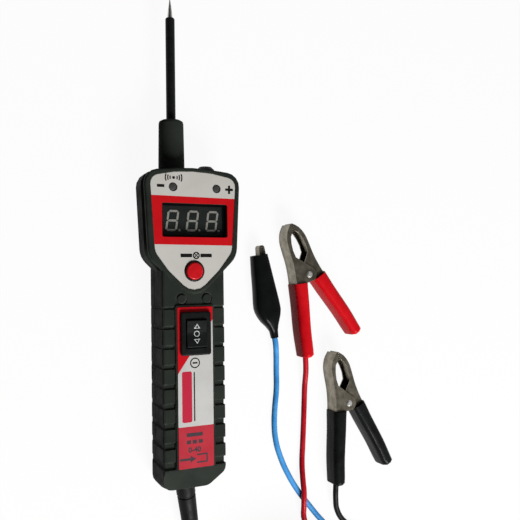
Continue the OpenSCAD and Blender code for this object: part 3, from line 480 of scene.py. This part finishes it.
grain_size = 0.45
case_plastic, tree, shader, place = new_finish("case_plastic", specular=0.015)
patches = patchy(tree, place, 14, 4)
body_tone = blended(tree, patches, srgb("272b27"), srgb("313530"))
rubbed = edge_wear(tree, place, 0.5, 0.4)
tree.links.new(blended(tree, rubbed, body_tone, srgb("6d716a")), shader.inputs["Base Color"])
tree.links.new(patchy(tree, place, 6, 4, 0.46, 0.62), shader.inputs["Roughness"])
grain = node(tree, "TexVoronoi", {"Vector": place, "Scale": 1 / (grain_size * mm)}).outputs["Distance"]
sag = cloud(tree, place, 12, 1)
relief(tree, shader, [(grain, 0.012), (sag, 0.05)], 0.35)
dress(case_plastic, "front_cover", "rear_cover", "nose_sleeve")

# Face panel. A printed film set in the head's recess: light warm grey, with a red band across
# it round the window. It lies inside the rim and is held by its own glue.
panel_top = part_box("face_panel")[1].z / mm
band_low, band_high, band_slope = -3.35, 19.75, 0.0095
film, tree, shader, place = new_finish("panel_film", specular=0.12)
axes = node(tree, "SeparateXYZ", {"Vector": place})
lean = number(tree, axes.outputs["X"], "MULTIPLY", band_slope)
level = number(tree, axes.outputs["Y"], "ADD", lean)
above_low = number(tree, level, "GREATER_THAN", band_low * mm)
below_high = number(tree, level, "LESS_THAN", band_high * mm)
band = number(tree, above_low, "MULTIPLY", below_high)
tone = patchy(tree, place, 10, 3)
paper = blended(tree, tone, srgb("c8c5be"), srgb("cfccc6"))
ink_red = blended(tree, tone, srgb("c40e17"), srgb("ce141c"))
tree.links.new(blended(tree, band, paper, ink_red), shader.inputs["Base Color"])
tree.links.new(patchy(tree, place, 3, 4, 0.36, 0.5), shader.inputs["Roughness"])
relief(tree, shader, [(cloud(tree, place, 0.3, 2), 0.006), (cloud(tree, place, 16, 1), 0.03)], 0.08)
dress(film, "face_panel")


# Printed marks of the panel: a minus and a plus beside the lights, a sound mark over the left
# light and a lamp mark over the button. Each is a thin coat of black ink.
def ink(name, colour):
    """Printing ink: near one colour, with fine specks where it is thin."""
    material, tree, shader, place = new_finish(name, specular=0.12)
    specks = levels(tree, cloud(tree, place, 0.25, 2), 0.3, 0.75)
    lift_by, lift_least = 1.3, 0.004
    paler = [min(1, part * lift_by + lift_least) for part in srgb(colour)[:3]] + [1]
    tree.links.new(blended(tree, specks, srgb(colour), paler), shader.inputs["Base Color"])
    shader.inputs["Roughness"].default_value = 0.5
    relief(tree, shader, [(specks, 0.004)], 0.02)
    return material


def bar(x, y, width, height):
    corners = ((-1, -1), (1, -1), (1, 1), (-1, 1))
    return [(x + sx * width / 2, y + sy * height / 2) for sx, sy in corners]


def ring_part(x, y, inner, outer, start=0, end=360, steps=28):
    """Quads that make a ring, or a part of one between two angles in degrees."""
    turns = [radians(start + (end - start) * i / steps) for i in range(steps + 1)]
    return [[
        (x + inner * cos(a), y + inner * sin(a)), (x + outer * cos(a), y + outer * sin(a)),
        (x + outer * cos(b), y + outer * sin(b)), (x + inner * cos(b), y + inner * sin(b))]
        for a, b in zip(turns, turns[1:])]


def disc(x, y, radius, steps=24):
    turns = [2 * pi * i / steps for i in range(steps)]
    return [[(x + radius * cos(turn), y + radius * sin(turn)) for turn in turns]]


ink_t, ink_sunk = 0.04, 0.01


def printed(name, outlines, surface, material, body="tester"):
    """A thin coat of ink in these outlines, laid on a surface given as a height over x and y."""
    mesh = raised(outlines, lambda x, y: surface(x, y) - ink_sunk, ink_t)
    mesh.materials.append(material)
    piece = placed(name, mesh, 0, (0, 0, 0))
    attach(piece, body)


def on_panel(x, y):
    return panel_top


black_ink = ink("black_ink", "121212")
minus_at, minus_l, minus_t = (-16.3, 24.5), 3.6, 1.35
printed("minus_mark", [bar(*minus_at, minus_l, minus_t)], on_panel, black_ink)
plus_at, plus_l, plus_t = (18.4, 24.0), 4.1, 1.15
plus_arm = (plus_l - plus_t) / 2
plus_offset = (plus_t + plus_arm) / 2
plus_bars = [bar(*plus_at, plus_t, plus_t)] + [
    bar(plus_at[0] + dx * plus_offset, plus_at[1] + dy * plus_offset,
        plus_arm if dx else plus_t, plus_arm if dy else plus_t)
    for dx, dy in ((1, 0), (-1, 0), (0, 1), (0, -1))]
printed("plus_mark", plus_bars, on_panel, black_ink)
sound_at, sound_dot_r = (-9.9, 28.6), 0.7
wave_radii, wave_half_t, wave_half_turn = (1.75, 2.9, 4.05), 0.3, 25
sound = disc(*sound_at, sound_dot_r)
for radius in wave_radii:
    for way in (0, 180):
        sound += ring_part(
            *sound_at, radius - wave_half_t, radius + wave_half_t,
            way - wave_half_turn, way + wave_half_turn, 10)
printed("sound_mark", sound, on_panel, black_ink)
lamp_at, lamp_ring_in, lamp_ring_out = (1.0, -8.4), 1.15, 1.75
cross_from, cross_to, cross_half_t = 0.1, 1.3, 0.24
side_bar_x, side_bar_l, side_bar_t = 5.0, 5.8, 1.7
lamp = ring_part(*lamp_at, lamp_ring_in, lamp_ring_out)
for i in range(4):
    angle = pi / 4 + pi / 2 * i
    out, across = Vector((cos(angle), sin(angle))), Vector((-sin(angle), cos(angle))) * cross_half_t
    near, far = Vector(lamp_at) + cross_from * out, Vector(lamp_at) + cross_to * out
    lamp.append([tuple(near - across), tuple(far - across), tuple(far + across), tuple(near + across)])
for way in (-1, 1):
    lamp.append(bar(lamp_at[0] + way * side_bar_x, lamp_at[1], side_bar_l, side_bar_t))
printed("lamp_mark", lamp, on_panel, black_ink)

# Window and display. A smoked clear pane, set into the front cover, over a dark display block
# with three digits of pale unlit segments.
pane, tree, shader, place = new_finish("smoked_pane", specular=0.2)
shader.inputs["Base Color"].default_value = srgb("1c2022")
shader.inputs["Alpha"].default_value = 0.2
tree.links.new(patchy(tree, place, 4, 3, 0.18, 0.26), shader.inputs["Roughness"])
relief(tree, shader, [(cloud(tree, place, 20, 1), 0.006)], 0.1)
dress(pane, "display_window")
block, tree, shader, place = new_finish("display_block", specular=0.25)
tone = patchy(tree, place, 5)
set_colour(tree, shader, tone, "2c322e", "353b36")
tree.links.new(patchy(tree, place, 2, 3, 0.3, 0.45), shader.inputs["Roughness"])
relief(tree, shader, [(cloud(tree, place, 0.3), 0.004)], 0.1)
dress(block, "display_module")
segment, tree, shader, place = new_finish("pale_segment", specular=0.4)
tone = patchy(tree, place, 1.5)
set_colour(tree, shader, tone, "c9c7bd", "dddbd1")
shader.inputs["Roughness"].default_value = 0.55
relief(tree, shader, [(cloud(tree, place, 0.2), 0.006)], 0.05)
dress(segment, "display_segments")

# Indicator lights. Two round grey lights, unlit, with a diffusing skin on a domed end. They are
# cast in resin and stand on the board by their leads.
led_resin, tree, shader, place = new_finish("led_resin", specular=0.2)
tone = patchy(tree, place, 0.8)
set_colour(tree, shader, tone, "403e3d", "4b4948")
shader.inputs["Roughness"].default_value = 0.38
relief(tree, shader, [(cloud(tree, place, 0.25), 0.008)], 0.1)
dress(led_resin, "led_minus", "led_plus")

# Light button. A glossy red cap, slightly crowned, in a black ring pressed into the panel. Both
# are moulded plastic, and the cap slides in the ring onto its switch.
red_cap, tree, shader, place = new_finish("red_cap", specular=0.18, coat=0.06)
tone = patchy(tree, place, 3)
set_colour(tree, shader, tone, "c00f1a", "d0181f")
tree.links.new(patchy(tree, place, 1.5, 4, 0.28, 0.42), shader.inputs["Roughness"])
relief(tree, shader, [(cloud(tree, place, 0.4), 0.004), (cloud(tree, place, 5, 1), 0.04)], 0.2)
dress(red_cap, "light_button")
gloss_black, tree, shader, place = new_finish("gloss_black", specular=0.35)
tone = patchy(tree, place, 2)
set_colour(tree, shader, tone, "141514", "1e201f")
tree.links.new(patchy(tree, place, 1.2, 4, 0.2, 0.34), shader.inputs["Roughness"])
relief(tree, shader, [(cloud(tree, place, 0.4), 0.004)], 0.15)
dress(gloss_black, "button_ring")

# Rocker switch. A black housing snapped into the handle, and a black rocker that tilts both
# ways, with a white triangle at each end and a white circle between them. The lamp's ring, the
# probe's insulation, the buzzer and the push switch are of the same satin plastic.
satin_black, tree, shader, place = new_finish("satin_black", specular=0.1)
tone = patchy(tree, place, 5)
plain = blended(tree, tone, srgb("131514"), srgb("1c1e1d"))
rubbed = edge_wear(tree, place, 0.3, 0.3)
tree.links.new(blended(tree, rubbed, plain, srgb("4c4e4c")), shader.inputs["Base Color"])
tree.links.new(patchy(tree, place, 2.5, 4, 0.36, 0.52), shader.inputs["Roughness"])
relief(tree, shader, [(cloud(tree, place, 0.3), 0.008)], 0.25)
dress(satin_black, "rocker_housing", "rocker", "lamp_ring", "probe_insulation", "buzzer", "button_switch")
rocker_low, rocker_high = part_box("rocker")
rocker_mid = (rocker_low + rocker_high) / 2 / mm
rocker_half = (rocker_high.y - rocker_low.y) / 2 / mm
rocker_dip, rocker_flat, rocker_lip = 0.8, 0.6, 0.4


def on_rocker(x, y):
    """Height of the rocker's hollow top, which rises from its middle to both ends."""
    along = max(abs(y - rocker_mid.y) - rocker_flat, 0) / (rocker_half - rocker_lip - rocker_flat)
    return rocker_high.z / mm - rocker_dip + rocker_dip * along


def hollow_triangle(x, y, width, height, hollow, way):
    """A triangle's outline that points one way along y, hollow to this share of its size."""
    foot, tip = y - way * height / 2, y + way * height / 2
    outer = [(x - width / 2, foot), (x + width / 2, foot), (x, tip)]
    middle = Vector((x, y - way * height / 6))
    inner = [tuple(middle + (Vector(p) - middle) * hollow) for p in outer]
    return [[outer[i], outer[(i + 1) % 3], inner[(i + 1) % 3], inner[i]] for i in range(3)]


white_ink = ink("white_ink", "c2c5c4")
circle_in, circle_out = 1.1, 1.42
triangle_off, triangle_w, triangle_h, triangle_hollow = 3.6, 3.1, 2.3, 0.6
marks = ring_part(rocker_mid.x, rocker_mid.y, circle_in, circle_out)
for way in (1, -1):
    triangle_y = rocker_mid.y + way * triangle_off
    marks += hollow_triangle(
        rocker_mid.x, triangle_y, triangle_w, triangle_h, triangle_hollow, way)
printed("rocker_marks", marks, on_rocker, white_ink, "rocker")

# Handle label. A printed film on the raised panel: red round the switch and cut off by a
# slanted edge, white below it, and a paler red field next to the cable.
label_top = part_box("handle_label")[1].z / mm
slant, slant_at, red_field_y = 1.43, -51.9, -89.5
label_film, tree, shader, place = new_finish("label_film", specular=0.07)
axes = node(tree, "SeparateXYZ", {"Vector": place})
run = number(tree, number(tree, axes.outputs["X"], "MULTIPLY", slant), "ADD", slant_at * mm)
upper = number(tree, axes.outputs["Y"], "GREATER_THAN", run)
lower = number(tree, axes.outputs["Y"], "LESS_THAN", red_field_y * mm)
tone = patchy(tree, place, 8, 3)
white_field = blended(tree, tone, srgb("c2c1be"), srgb("cccbc8"))
with_red = blended(tree, upper, white_field, srgb("c9131e"))
pale_red = blended(tree, tone, srgb("b22d39"), srgb("bd3844"))
tree.links.new(blended(tree, lower, with_red, pale_red), shader.inputs["Base Color"])
tree.links.new(patchy(tree, place, 3, 4, 0.36, 0.5), shader.inputs["Roughness"])
relief(tree, shader, [(cloud(tree, place, 0.3, 2), 0.006), (cloud(tree, place, 14, 1), 0.03)], 0.08)
dress(label_film, "handle_label")


def on_label(x, y):
    return label_top


# Printed marks of the label: a ringed minus, a plain red bar beside a black line, the sign for
# direct current, the range in plain numbers, and an arrow into a bracket for the input.
ringed_at, ringed_in, ringed_out, ringed_l, ringed_t = (-0.3, -59.6), 1.95, 2.5, 2.5, 0.75
ringed = ring_part(*ringed_at, ringed_in, ringed_out) + [bar(*ringed_at, ringed_l, ringed_t)]
printed("ringed_minus", ringed, on_label, black_ink)
line_at, line_w, line_l = (-0.75, -75.5), 0.6, 23.2
printed("label_line", [bar(*line_at, line_w, line_l)], on_label, black_ink)
red_ink = ink("red_ink", "b5203a")
plain_at, plain_w, plain_l, plain_r = (-4.4, -75.5), 4.9, 24, 0.9
plain_outline = rounded_bar(*plain_at, plain_w, plain_l, plain_r)
printed("plain_bar", plain_outline, on_label, red_ink)
grey_ink = ink("grey_ink", "40363c")
current_x, current_t = -0.8, 1.7
whole_y, whole_l = -93.4, 8
dash_y, dash_l, dash_pitch = -96.8, 2.1, 2.95
current = [bar(current_x, whole_y, whole_l, current_t)] + [
    bar(current_x + way * dash_pitch, dash_y, dash_l, current_t) for way in (-1, 0, 1)]
printed("direct_current_mark", current, on_label, grey_ink)
input_y = -104.8
shaft_x, shaft_l, shaft_t = -5.6, 5.2, 1.1
head_from, head_to, head_half_w = -3, -0.2, 1.6
bracket_x, bracket_l, bracket_t, bracket_half_h = 2.9, 5.4, 0.7, 1.8
arrow = [
    bar(shaft_x, input_y, shaft_l, shaft_t),
    [(head_from, input_y - head_half_w), (head_to, input_y), (head_from, input_y + head_half_w)],
    bar(bracket_x, input_y + bracket_half_h, bracket_l, bracket_t),
    bar(bracket_x, input_y - bracket_half_h, bracket_l, bracket_t),
    bar(bracket_x + (bracket_l - bracket_t) / 2, input_y, bracket_t, 2 * bracket_half_h - bracket_t)]
printed("input_mark", arrow, on_label, grey_ink)
numbers_at, numbers_h, numbers_bold = (-0.9, -100.6), 3.4, 0.12
digits = bpy.data.curves.new("range_numbers", "FONT")
digits.body = "0-40"
digits.size = numbers_h * mm
digits.extrude = ink_t / 2 * mm
digits.offset = numbers_bold * mm
digits.align_x = "CENTER"
digits.align_y = "CENTER"
numbers_text = linked("range_text", digits)
numbers_mesh = plain_mesh(numbers_text)
bpy.data.objects.remove(numbers_text)
numbers_mesh.materials.clear()
numbers_mesh.materials.append(grey_ink)
numbers_mid = numbers_at + (label_top + ink_t / 2 - ink_sunk,)
numbers = placed("range_numbers", numbers_mesh, 0, numbers_mid)
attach(numbers, "tester")

# Lamp. A clear domed light, cast in resin, in a black ring at the head's end. It is the torch
# that the red button lights.
clear_resin, tree, shader, place = new_finish("clear_resin", specular=0.6)
tone = patchy(tree, place, 1.2)
set_colour(tree, shader, tone, "8e918c", "b4b7b2")
shader.inputs["Roughness"].default_value = 0.08
shader.inputs["Transmission Weight"].default_value = 0.6
relief(tree, shader, [(cloud(tree, place, 0.6), 0.01)], 0.1)
dress(clear_resin, "lamp_light")

# Steel. The ground probe tip, the springs and the screws are bright, drawn or turned, with fine
# lines along them and a few dull spots. The clamps' rivets are plated with pale zinc.
steel, tree, shader, place = new_finish("bright_steel", metallic=1.0)
lines = cloud(tree, place, 0.15, 3, stretch=(1, 18, 1))
spots = levels(tree, cloud(tree, place, 1.5, 4), 0.45, 0.75)
set_colour(tree, shader, spots, "c9c8c4", "97948d")
tree.links.new(levels(tree, lines, 0.3, 0.7, 0.16, 0.36), shader.inputs["Roughness"])
relief(tree, shader, [(lines, 0.006)], 0.1)
dress(steel, "probe_rod", "case_screws", "clip_pin")
zinc, tree, shader, place = new_finish("rivet_zinc", metallic=0.7)
spots = levels(tree, cloud(tree, place, 0.6, 3), 0.4, 0.75)
set_colour(tree, shader, spots, "e6e5e1", "b0aea8")
tree.links.new(levels(tree, spots, 0, 1, 0.34, 0.5), shader.inputs["Roughness"])
relief(tree, shader, [(spots, 0.01)], 0.15)
dress(zinc, "red_rivet", "black_rivet")

# Clamp sheet. The jaws of the clamps and the clip are folded steel sheet plated with nickel,
# which has dulled brown-grey with handling; painted shade darkens it in its corners and recesses.
# Die lines run along the jaws, with scratches where they have gripped.
dull_nickel, tree, shader, place = new_finish("dull_nickel", metallic=1.0)
tarnish = levels(tree, cloud(tree, place, 4, 5), 0.35, 0.7)
plate_tone = blended(tree, tarnish, srgb("968f80"), srgb("6c6658"))
# Painted shade: the plate is darkened towards dark brown where ambient occlusion finds it sheltered, in
# corners and recesses.
recess_shade = node(tree, "AmbientOcclusion", {"Distance": 5 * mm}, samples=6).outputs["AO"]
plate_with_painted_shade = blended(tree, levels(tree, recess_shade, 0.9, 0.55), plate_tone, srgb("3f3b31"))
rubbed = edge_wear(tree, place, 0.2, 0.35)
tree.links.new(blended(tree, rubbed, plate_with_painted_shade, srgb("c4c1b8")), shader.inputs["Base Color"])
scratch = cloud(tree, place, 0.2, 4, stretch=(1, 12, 4))
tree.links.new(levels(tree, scratch, 0.3, 0.7, 0.32, 0.46), shader.inputs["Roughness"])
relief(tree, shader, [(scratch, 0.01), (cloud(tree, place, 3, 1), 0.06)], 0.3)
dress(dull_nickel, "red_fixed_jaw", "red_moving_jaw", "black_fixed_jaw", "black_moving_jaw")
dress(dull_nickel, "clip_fixed_jaw", "clip_moving_jaw")


# Clamp grips. Thick vinyl dipped over the handles of the clamps and cured, glossy, with shallow
# wrinkles where it has shrunk on, the black pair more than the red.
def vinyl(name, dark, light, gloss, wrinkle, dull_by=0.14):
    """Dipped vinyl: two near tones, a gloss that dulls in patches, and wrinkles of this depth."""
    material, tree, shader, place = new_finish(name, specular=0.04, coat=0.06)
    tone = patchy(tree, place, 8, 3)
    set_colour(tree, shader, tone, dark, light)
    shine = patchy(tree, place, 4, 4, gloss, gloss + dull_by)
    tree.links.new(shine, shader.inputs["Roughness"])
    folds = cloud(tree, place, 5, 1, stretch=(1, 2.4, 1))
    relief(tree, shader, [(folds, wrinkle), (cloud(tree, place, 0.5, 2), 0.002)], 0.15)
    return material


red_vinyl = vinyl("red_vinyl", "c60f19", "d4161f", 0.22, 0.1)
black_vinyl = vinyl("black_vinyl", "121312", "1c1d1d", 0.24, 0.3)
for colour, look in (("red", red_vinyl), ("black", black_vinyl)):
    for half, body in (("fixed", "tester"), ("moving", colour + "_jaw")):
        grip = eased(f"{colour}_{half}_grip", f"{colour}_{half}_vinyl", look, 50)
        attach(grip, body)


# Springs of the clamps and the clip. Each is steel wire wound round the rivet, with a straight
# leg pressed against each half.
winding, sizes, whole = grower("wound_spring", {
    "Coil Radius": "Float", "Wire": "Float", "Turns": "Float", "Height": "Float",
    "Leg Length": "Float", "Leg Angle": "Float"})
half_height = number(winding, sizes["Height"], "DIVIDE", 2.0)
lower_end = number(winding, half_height, "MULTIPLY", -1.0)
other_angle = number(winding, sizes["Leg Angle"], "MULTIPLY", -1.0)
other_side = number(winding, sizes["Coil Radius"], "MULTIPLY", -1.0)
coil = shape_node(winding, "CurveSpiral", {
    "Resolution": 28, "Rotations": sizes["Turns"], "Start Radius": sizes["Coil Radius"],
    "End Radius": sizes["Coil Radius"], "Height": sizes["Height"], "Reverse": True})
parts = shape_node(winding, "JoinGeometry")
coil_placed = shape_node(winding, "Transform", {
    "Geometry": coil.outputs["Curve"], "Translation": vector(winding, 0.0, 0.0, lower_end),
    "Rotation": vector(winding, 0.0, 0.0, sizes["Leg Angle"])})
winding.links.new(coil_placed.outputs["Geometry"], parts.inputs["Geometry"])
for across, level, angle in (
        (sizes["Coil Radius"], lower_end, sizes["Leg Angle"]), (other_side, half_height, other_angle)):
    leg = shape_node(winding, "CurvePrimitiveLine", {
        "Start": vector(winding, across, 0.0, level), "Direction": (0, -1, 0),
        "Length": sizes["Leg Length"]}, mode="DIRECTION")
    leg_turned = shape_node(winding, "Transform", {
        "Geometry": leg.outputs["Curve"], "Rotation": vector(winding, 0.0, 0.0, angle)})
    winding.links.new(leg_turned.outputs["Geometry"], parts.inputs["Geometry"])
winding.links.new(wire_mesh(winding, parts.outputs["Geometry"], sizes["Wire"], 10), whole.inputs["Geometry"])


def spring(name, at, turn, coil_d, wire, coil_l, leg, reach, wire_share=0.96):
    """A wound spring in its CAD node's place. Its turns lie all but against each other."""
    turns = int((coil_l - wire) / wire) + (180 - 2 * reach) / 360
    mesh = grown(winding, {
        "Coil Radius": (coil_d - wire) / 2 * mm, "Wire": wire_share * wire * mm, "Turns": turns,
        "Height": (coil_l - wire) * mm, "Leg Length": leg * mm, "Leg Angle": radians(reach),
        "Material": steel})
    piece = placed(name + "_wire", mesh, turn, at)
    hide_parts(name)
    return piece


def bent_between(piece):
    """Moves a piece's turn and place into its mesh and leaves the object at the origin."""
    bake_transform(piece)


red_rivet_at, red_turn = (71, -18, 6.3), 21
black_rivet_at, black_turn = (95, -90, 6.3), 13.5
clip_pin_at, clip_turn = (47.6, -22.1, 4.7), 9.3
clamp_sizes = {"coil_d": 5.4, "wire": 1, "coil_l": 5.6, "leg": 11, "reach": 34}
clip_sizes = {"coil_d": 3.4, "wire": 0.5, "coil_l": 2.6, "leg": 8, "reach": 7}
clamp_bend, clip_bend = 3, 1.6
for colour, at, turn, wire_sizes, bend in (
        ("red", red_rivet_at, red_turn, clamp_sizes, clamp_bend),
        ("black", black_rivet_at, black_turn, clamp_sizes, clamp_bend),
        ("clip", clip_pin_at, clip_turn, clip_sizes, clip_bend)):
    sprung = spring(colour + "_spring", at, turn, **wire_sizes)
    bent_between(sprung)

# Clip boot. A soft black vinyl sleeve over the clip's handles, very glossy, squeezed to open
# the jaws.
boot_vinyl = vinyl("boot_vinyl", "0f1010", "161717", 0.16, 0.05)
boot = eased("clip_boot", "boot_sleeve", boot_vinyl)
bent_between(boot)

# Inside pieces. A board of green laminate, a relay in a blue plastic box soldered to it, the
# turned brass socket that holds the probe, and the button's pale plunger.
weave_size = 0.8
laminate, tree, shader, place = new_finish("laminate", specular=0.5, coat=0.3)
weave = node(tree, "TexChecker", {"Vector": place, "Scale": 1 / (weave_size * mm)}).outputs["Fac"]
set_colour(tree, shader, weave, "1e5a34", "236239")
shader.inputs["Roughness"].default_value = 0.4
relief(tree, shader, [(weave, 0.01)], 0.1)
dress(laminate, "circuit_board")
relay_box, tree, shader, place = new_finish("relay_box", specular=0.5)
tone = patchy(tree, place, 4)
set_colour(tree, shader, tone, "1f3f86", "27499a")
shader.inputs["Roughness"].default_value = 0.35
relief(tree, shader, [(cloud(tree, place, 0.4), 0.006)], 0.3)
dress(relay_box, "power_relay")
brass, tree, shader, place = new_finish("turned_brass", metallic=1.0)
rings = cloud(tree, place, 0.2, 3, stretch=(8, 1, 8))
set_colour(tree, shader, rings, "c8a860", "a88843")
shader.inputs["Roughness"].default_value = 0.3
relief(tree, shader, [(rings, 0.01)], 0.1)
dress(brass, "probe_socket")
dress(segment, "switch_plunger")


clamp_pieces = ("fixed_jaw", "moving_jaw", "rivet")
for colour, lead in leads.items():
    if colour == "blue":
        held = [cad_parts[n] for n in ("clip_fixed_jaw", "clip_moving_jaw", "clip_pin")]
        held += [boot, bpy.data.objects["clip_spring_wire"]]
    else:
        held = [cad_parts[f"{colour}_{n}"] for n in clamp_pieces]
        held += [bpy.data.objects[f"{colour}_{n}"] for n in ("fixed_vinyl", "moving_vinyl", "spring_wire")]

# Bench. A white table that shows white to the camera, and in metal and glass, and keeps a soft
# shadow of the tester.
far = 3.0
bench_mesh = bpy.data.meshes.new("bench")
corners = [(-far, -far, 0), (far, -far, 0), (far, far, 0), (-far, far, 0)]
bench_mesh.from_pydata(corners, [], [(0, 1, 2, 3)])
bench = linked("bench", bench_mesh)


def seen_plainly(tree):
    """One where a surface is seen by the camera, in a reflection or through glass."""
    path = node(tree, "LightPath").outputs
    seen = number(tree, path["Is Camera Ray"], "MAXIMUM", path["Is Glossy Ray"])
    return number(tree, seen, "MAXIMUM", path["Is Transmission Ray"])


bench_look = bpy.data.materials.new("bench_white")
bench_look.use_nodes = True
tree = bench_look.node_tree
paint = tree.nodes["Principled BSDF"]
paint.inputs["Roughness"].default_value = 0.9
paint.inputs["Specular IOR Level"].default_value = 0.0
shown_white, cast_grey, own_white = [0.9, 0.9, 0.9, 1], [0.13, 0.13, 0.13, 1], 0.93
seen = seen_plainly(tree)
tree.links.new(blended(tree, seen, cast_grey, shown_white), paint.inputs["Base Color"])
white = node(tree, "Emission", {"Color": (1, 1, 1, 1), "Strength": 1.0}).outputs["Emission"]
white_share = number(tree, seen, "MULTIPLY", own_white)
surface = node(tree, "MixShader", {0: white_share, 1: paint.outputs["BSDF"], 2: white})
tree.links.new(surface.outputs["Shader"], tree.nodes["Material Output"].inputs["Surface"])
bench_mesh.materials.append(bench_look)

# Light. A dim room, brighter near the table and to the right than overhead, and one large soft
# box that stands low beyond the cable's end and a little to the right, so that the faces turned
# up are even and the sides are darker.
world = bpy.data.worlds.new("room")
world.use_nodes = True
tree = world.node_tree
ways = node(tree, "SeparateXYZ", {"Vector": node(tree, "TexCoord").outputs["Generated"]})
room = tree.nodes["Background"]
room.inputs["Color"].default_value = (1, 1, 1, 1)
overhead = levels(tree, ways.outputs["Z"], low=0.3, high=0.85, dark=0.36, light=0.1)
rightward = levels(tree, ways.outputs["X"], low=-0.8, high=0.6, dark=0.08, light=1.45)
tree.links.new(number(tree, overhead, "MULTIPLY", rightward), room.inputs["Strength"])
backdrop = node(tree, "Background", {"Color": (1, 1, 1, 1), "Strength": 1.0}).outputs["Background"]
camera_ray = node(tree, "LightPath").outputs["Is Camera Ray"]
sky = node(tree, "MixShader", {0: camera_ray, 1: room.outputs["Background"], 2: backdrop})
tree.links.new(sky.outputs["Shader"], tree.nodes["World Output"].inputs["Surface"])
bpy.context.scene.world = world
key_at, key_aim = Vector((0.2, -0.78, 0.64)), Vector((0.03, -0.03, 0))
key_side, key_power = 0.4, 12.5
soft_box = bpy.data.lights.new("key_light", "AREA")
soft_box.shape = "RECTANGLE"
soft_box.size = soft_box.size_y = key_side
soft_box.energy = key_power
key_light = linked("key_light", soft_box)
key_light.location = key_at
key_light.rotation_euler = (key_aim - key_at).to_track_quat("-Z", "Y").to_euler()
bpy.context.scene.view_settings.view_transform = "Standard"
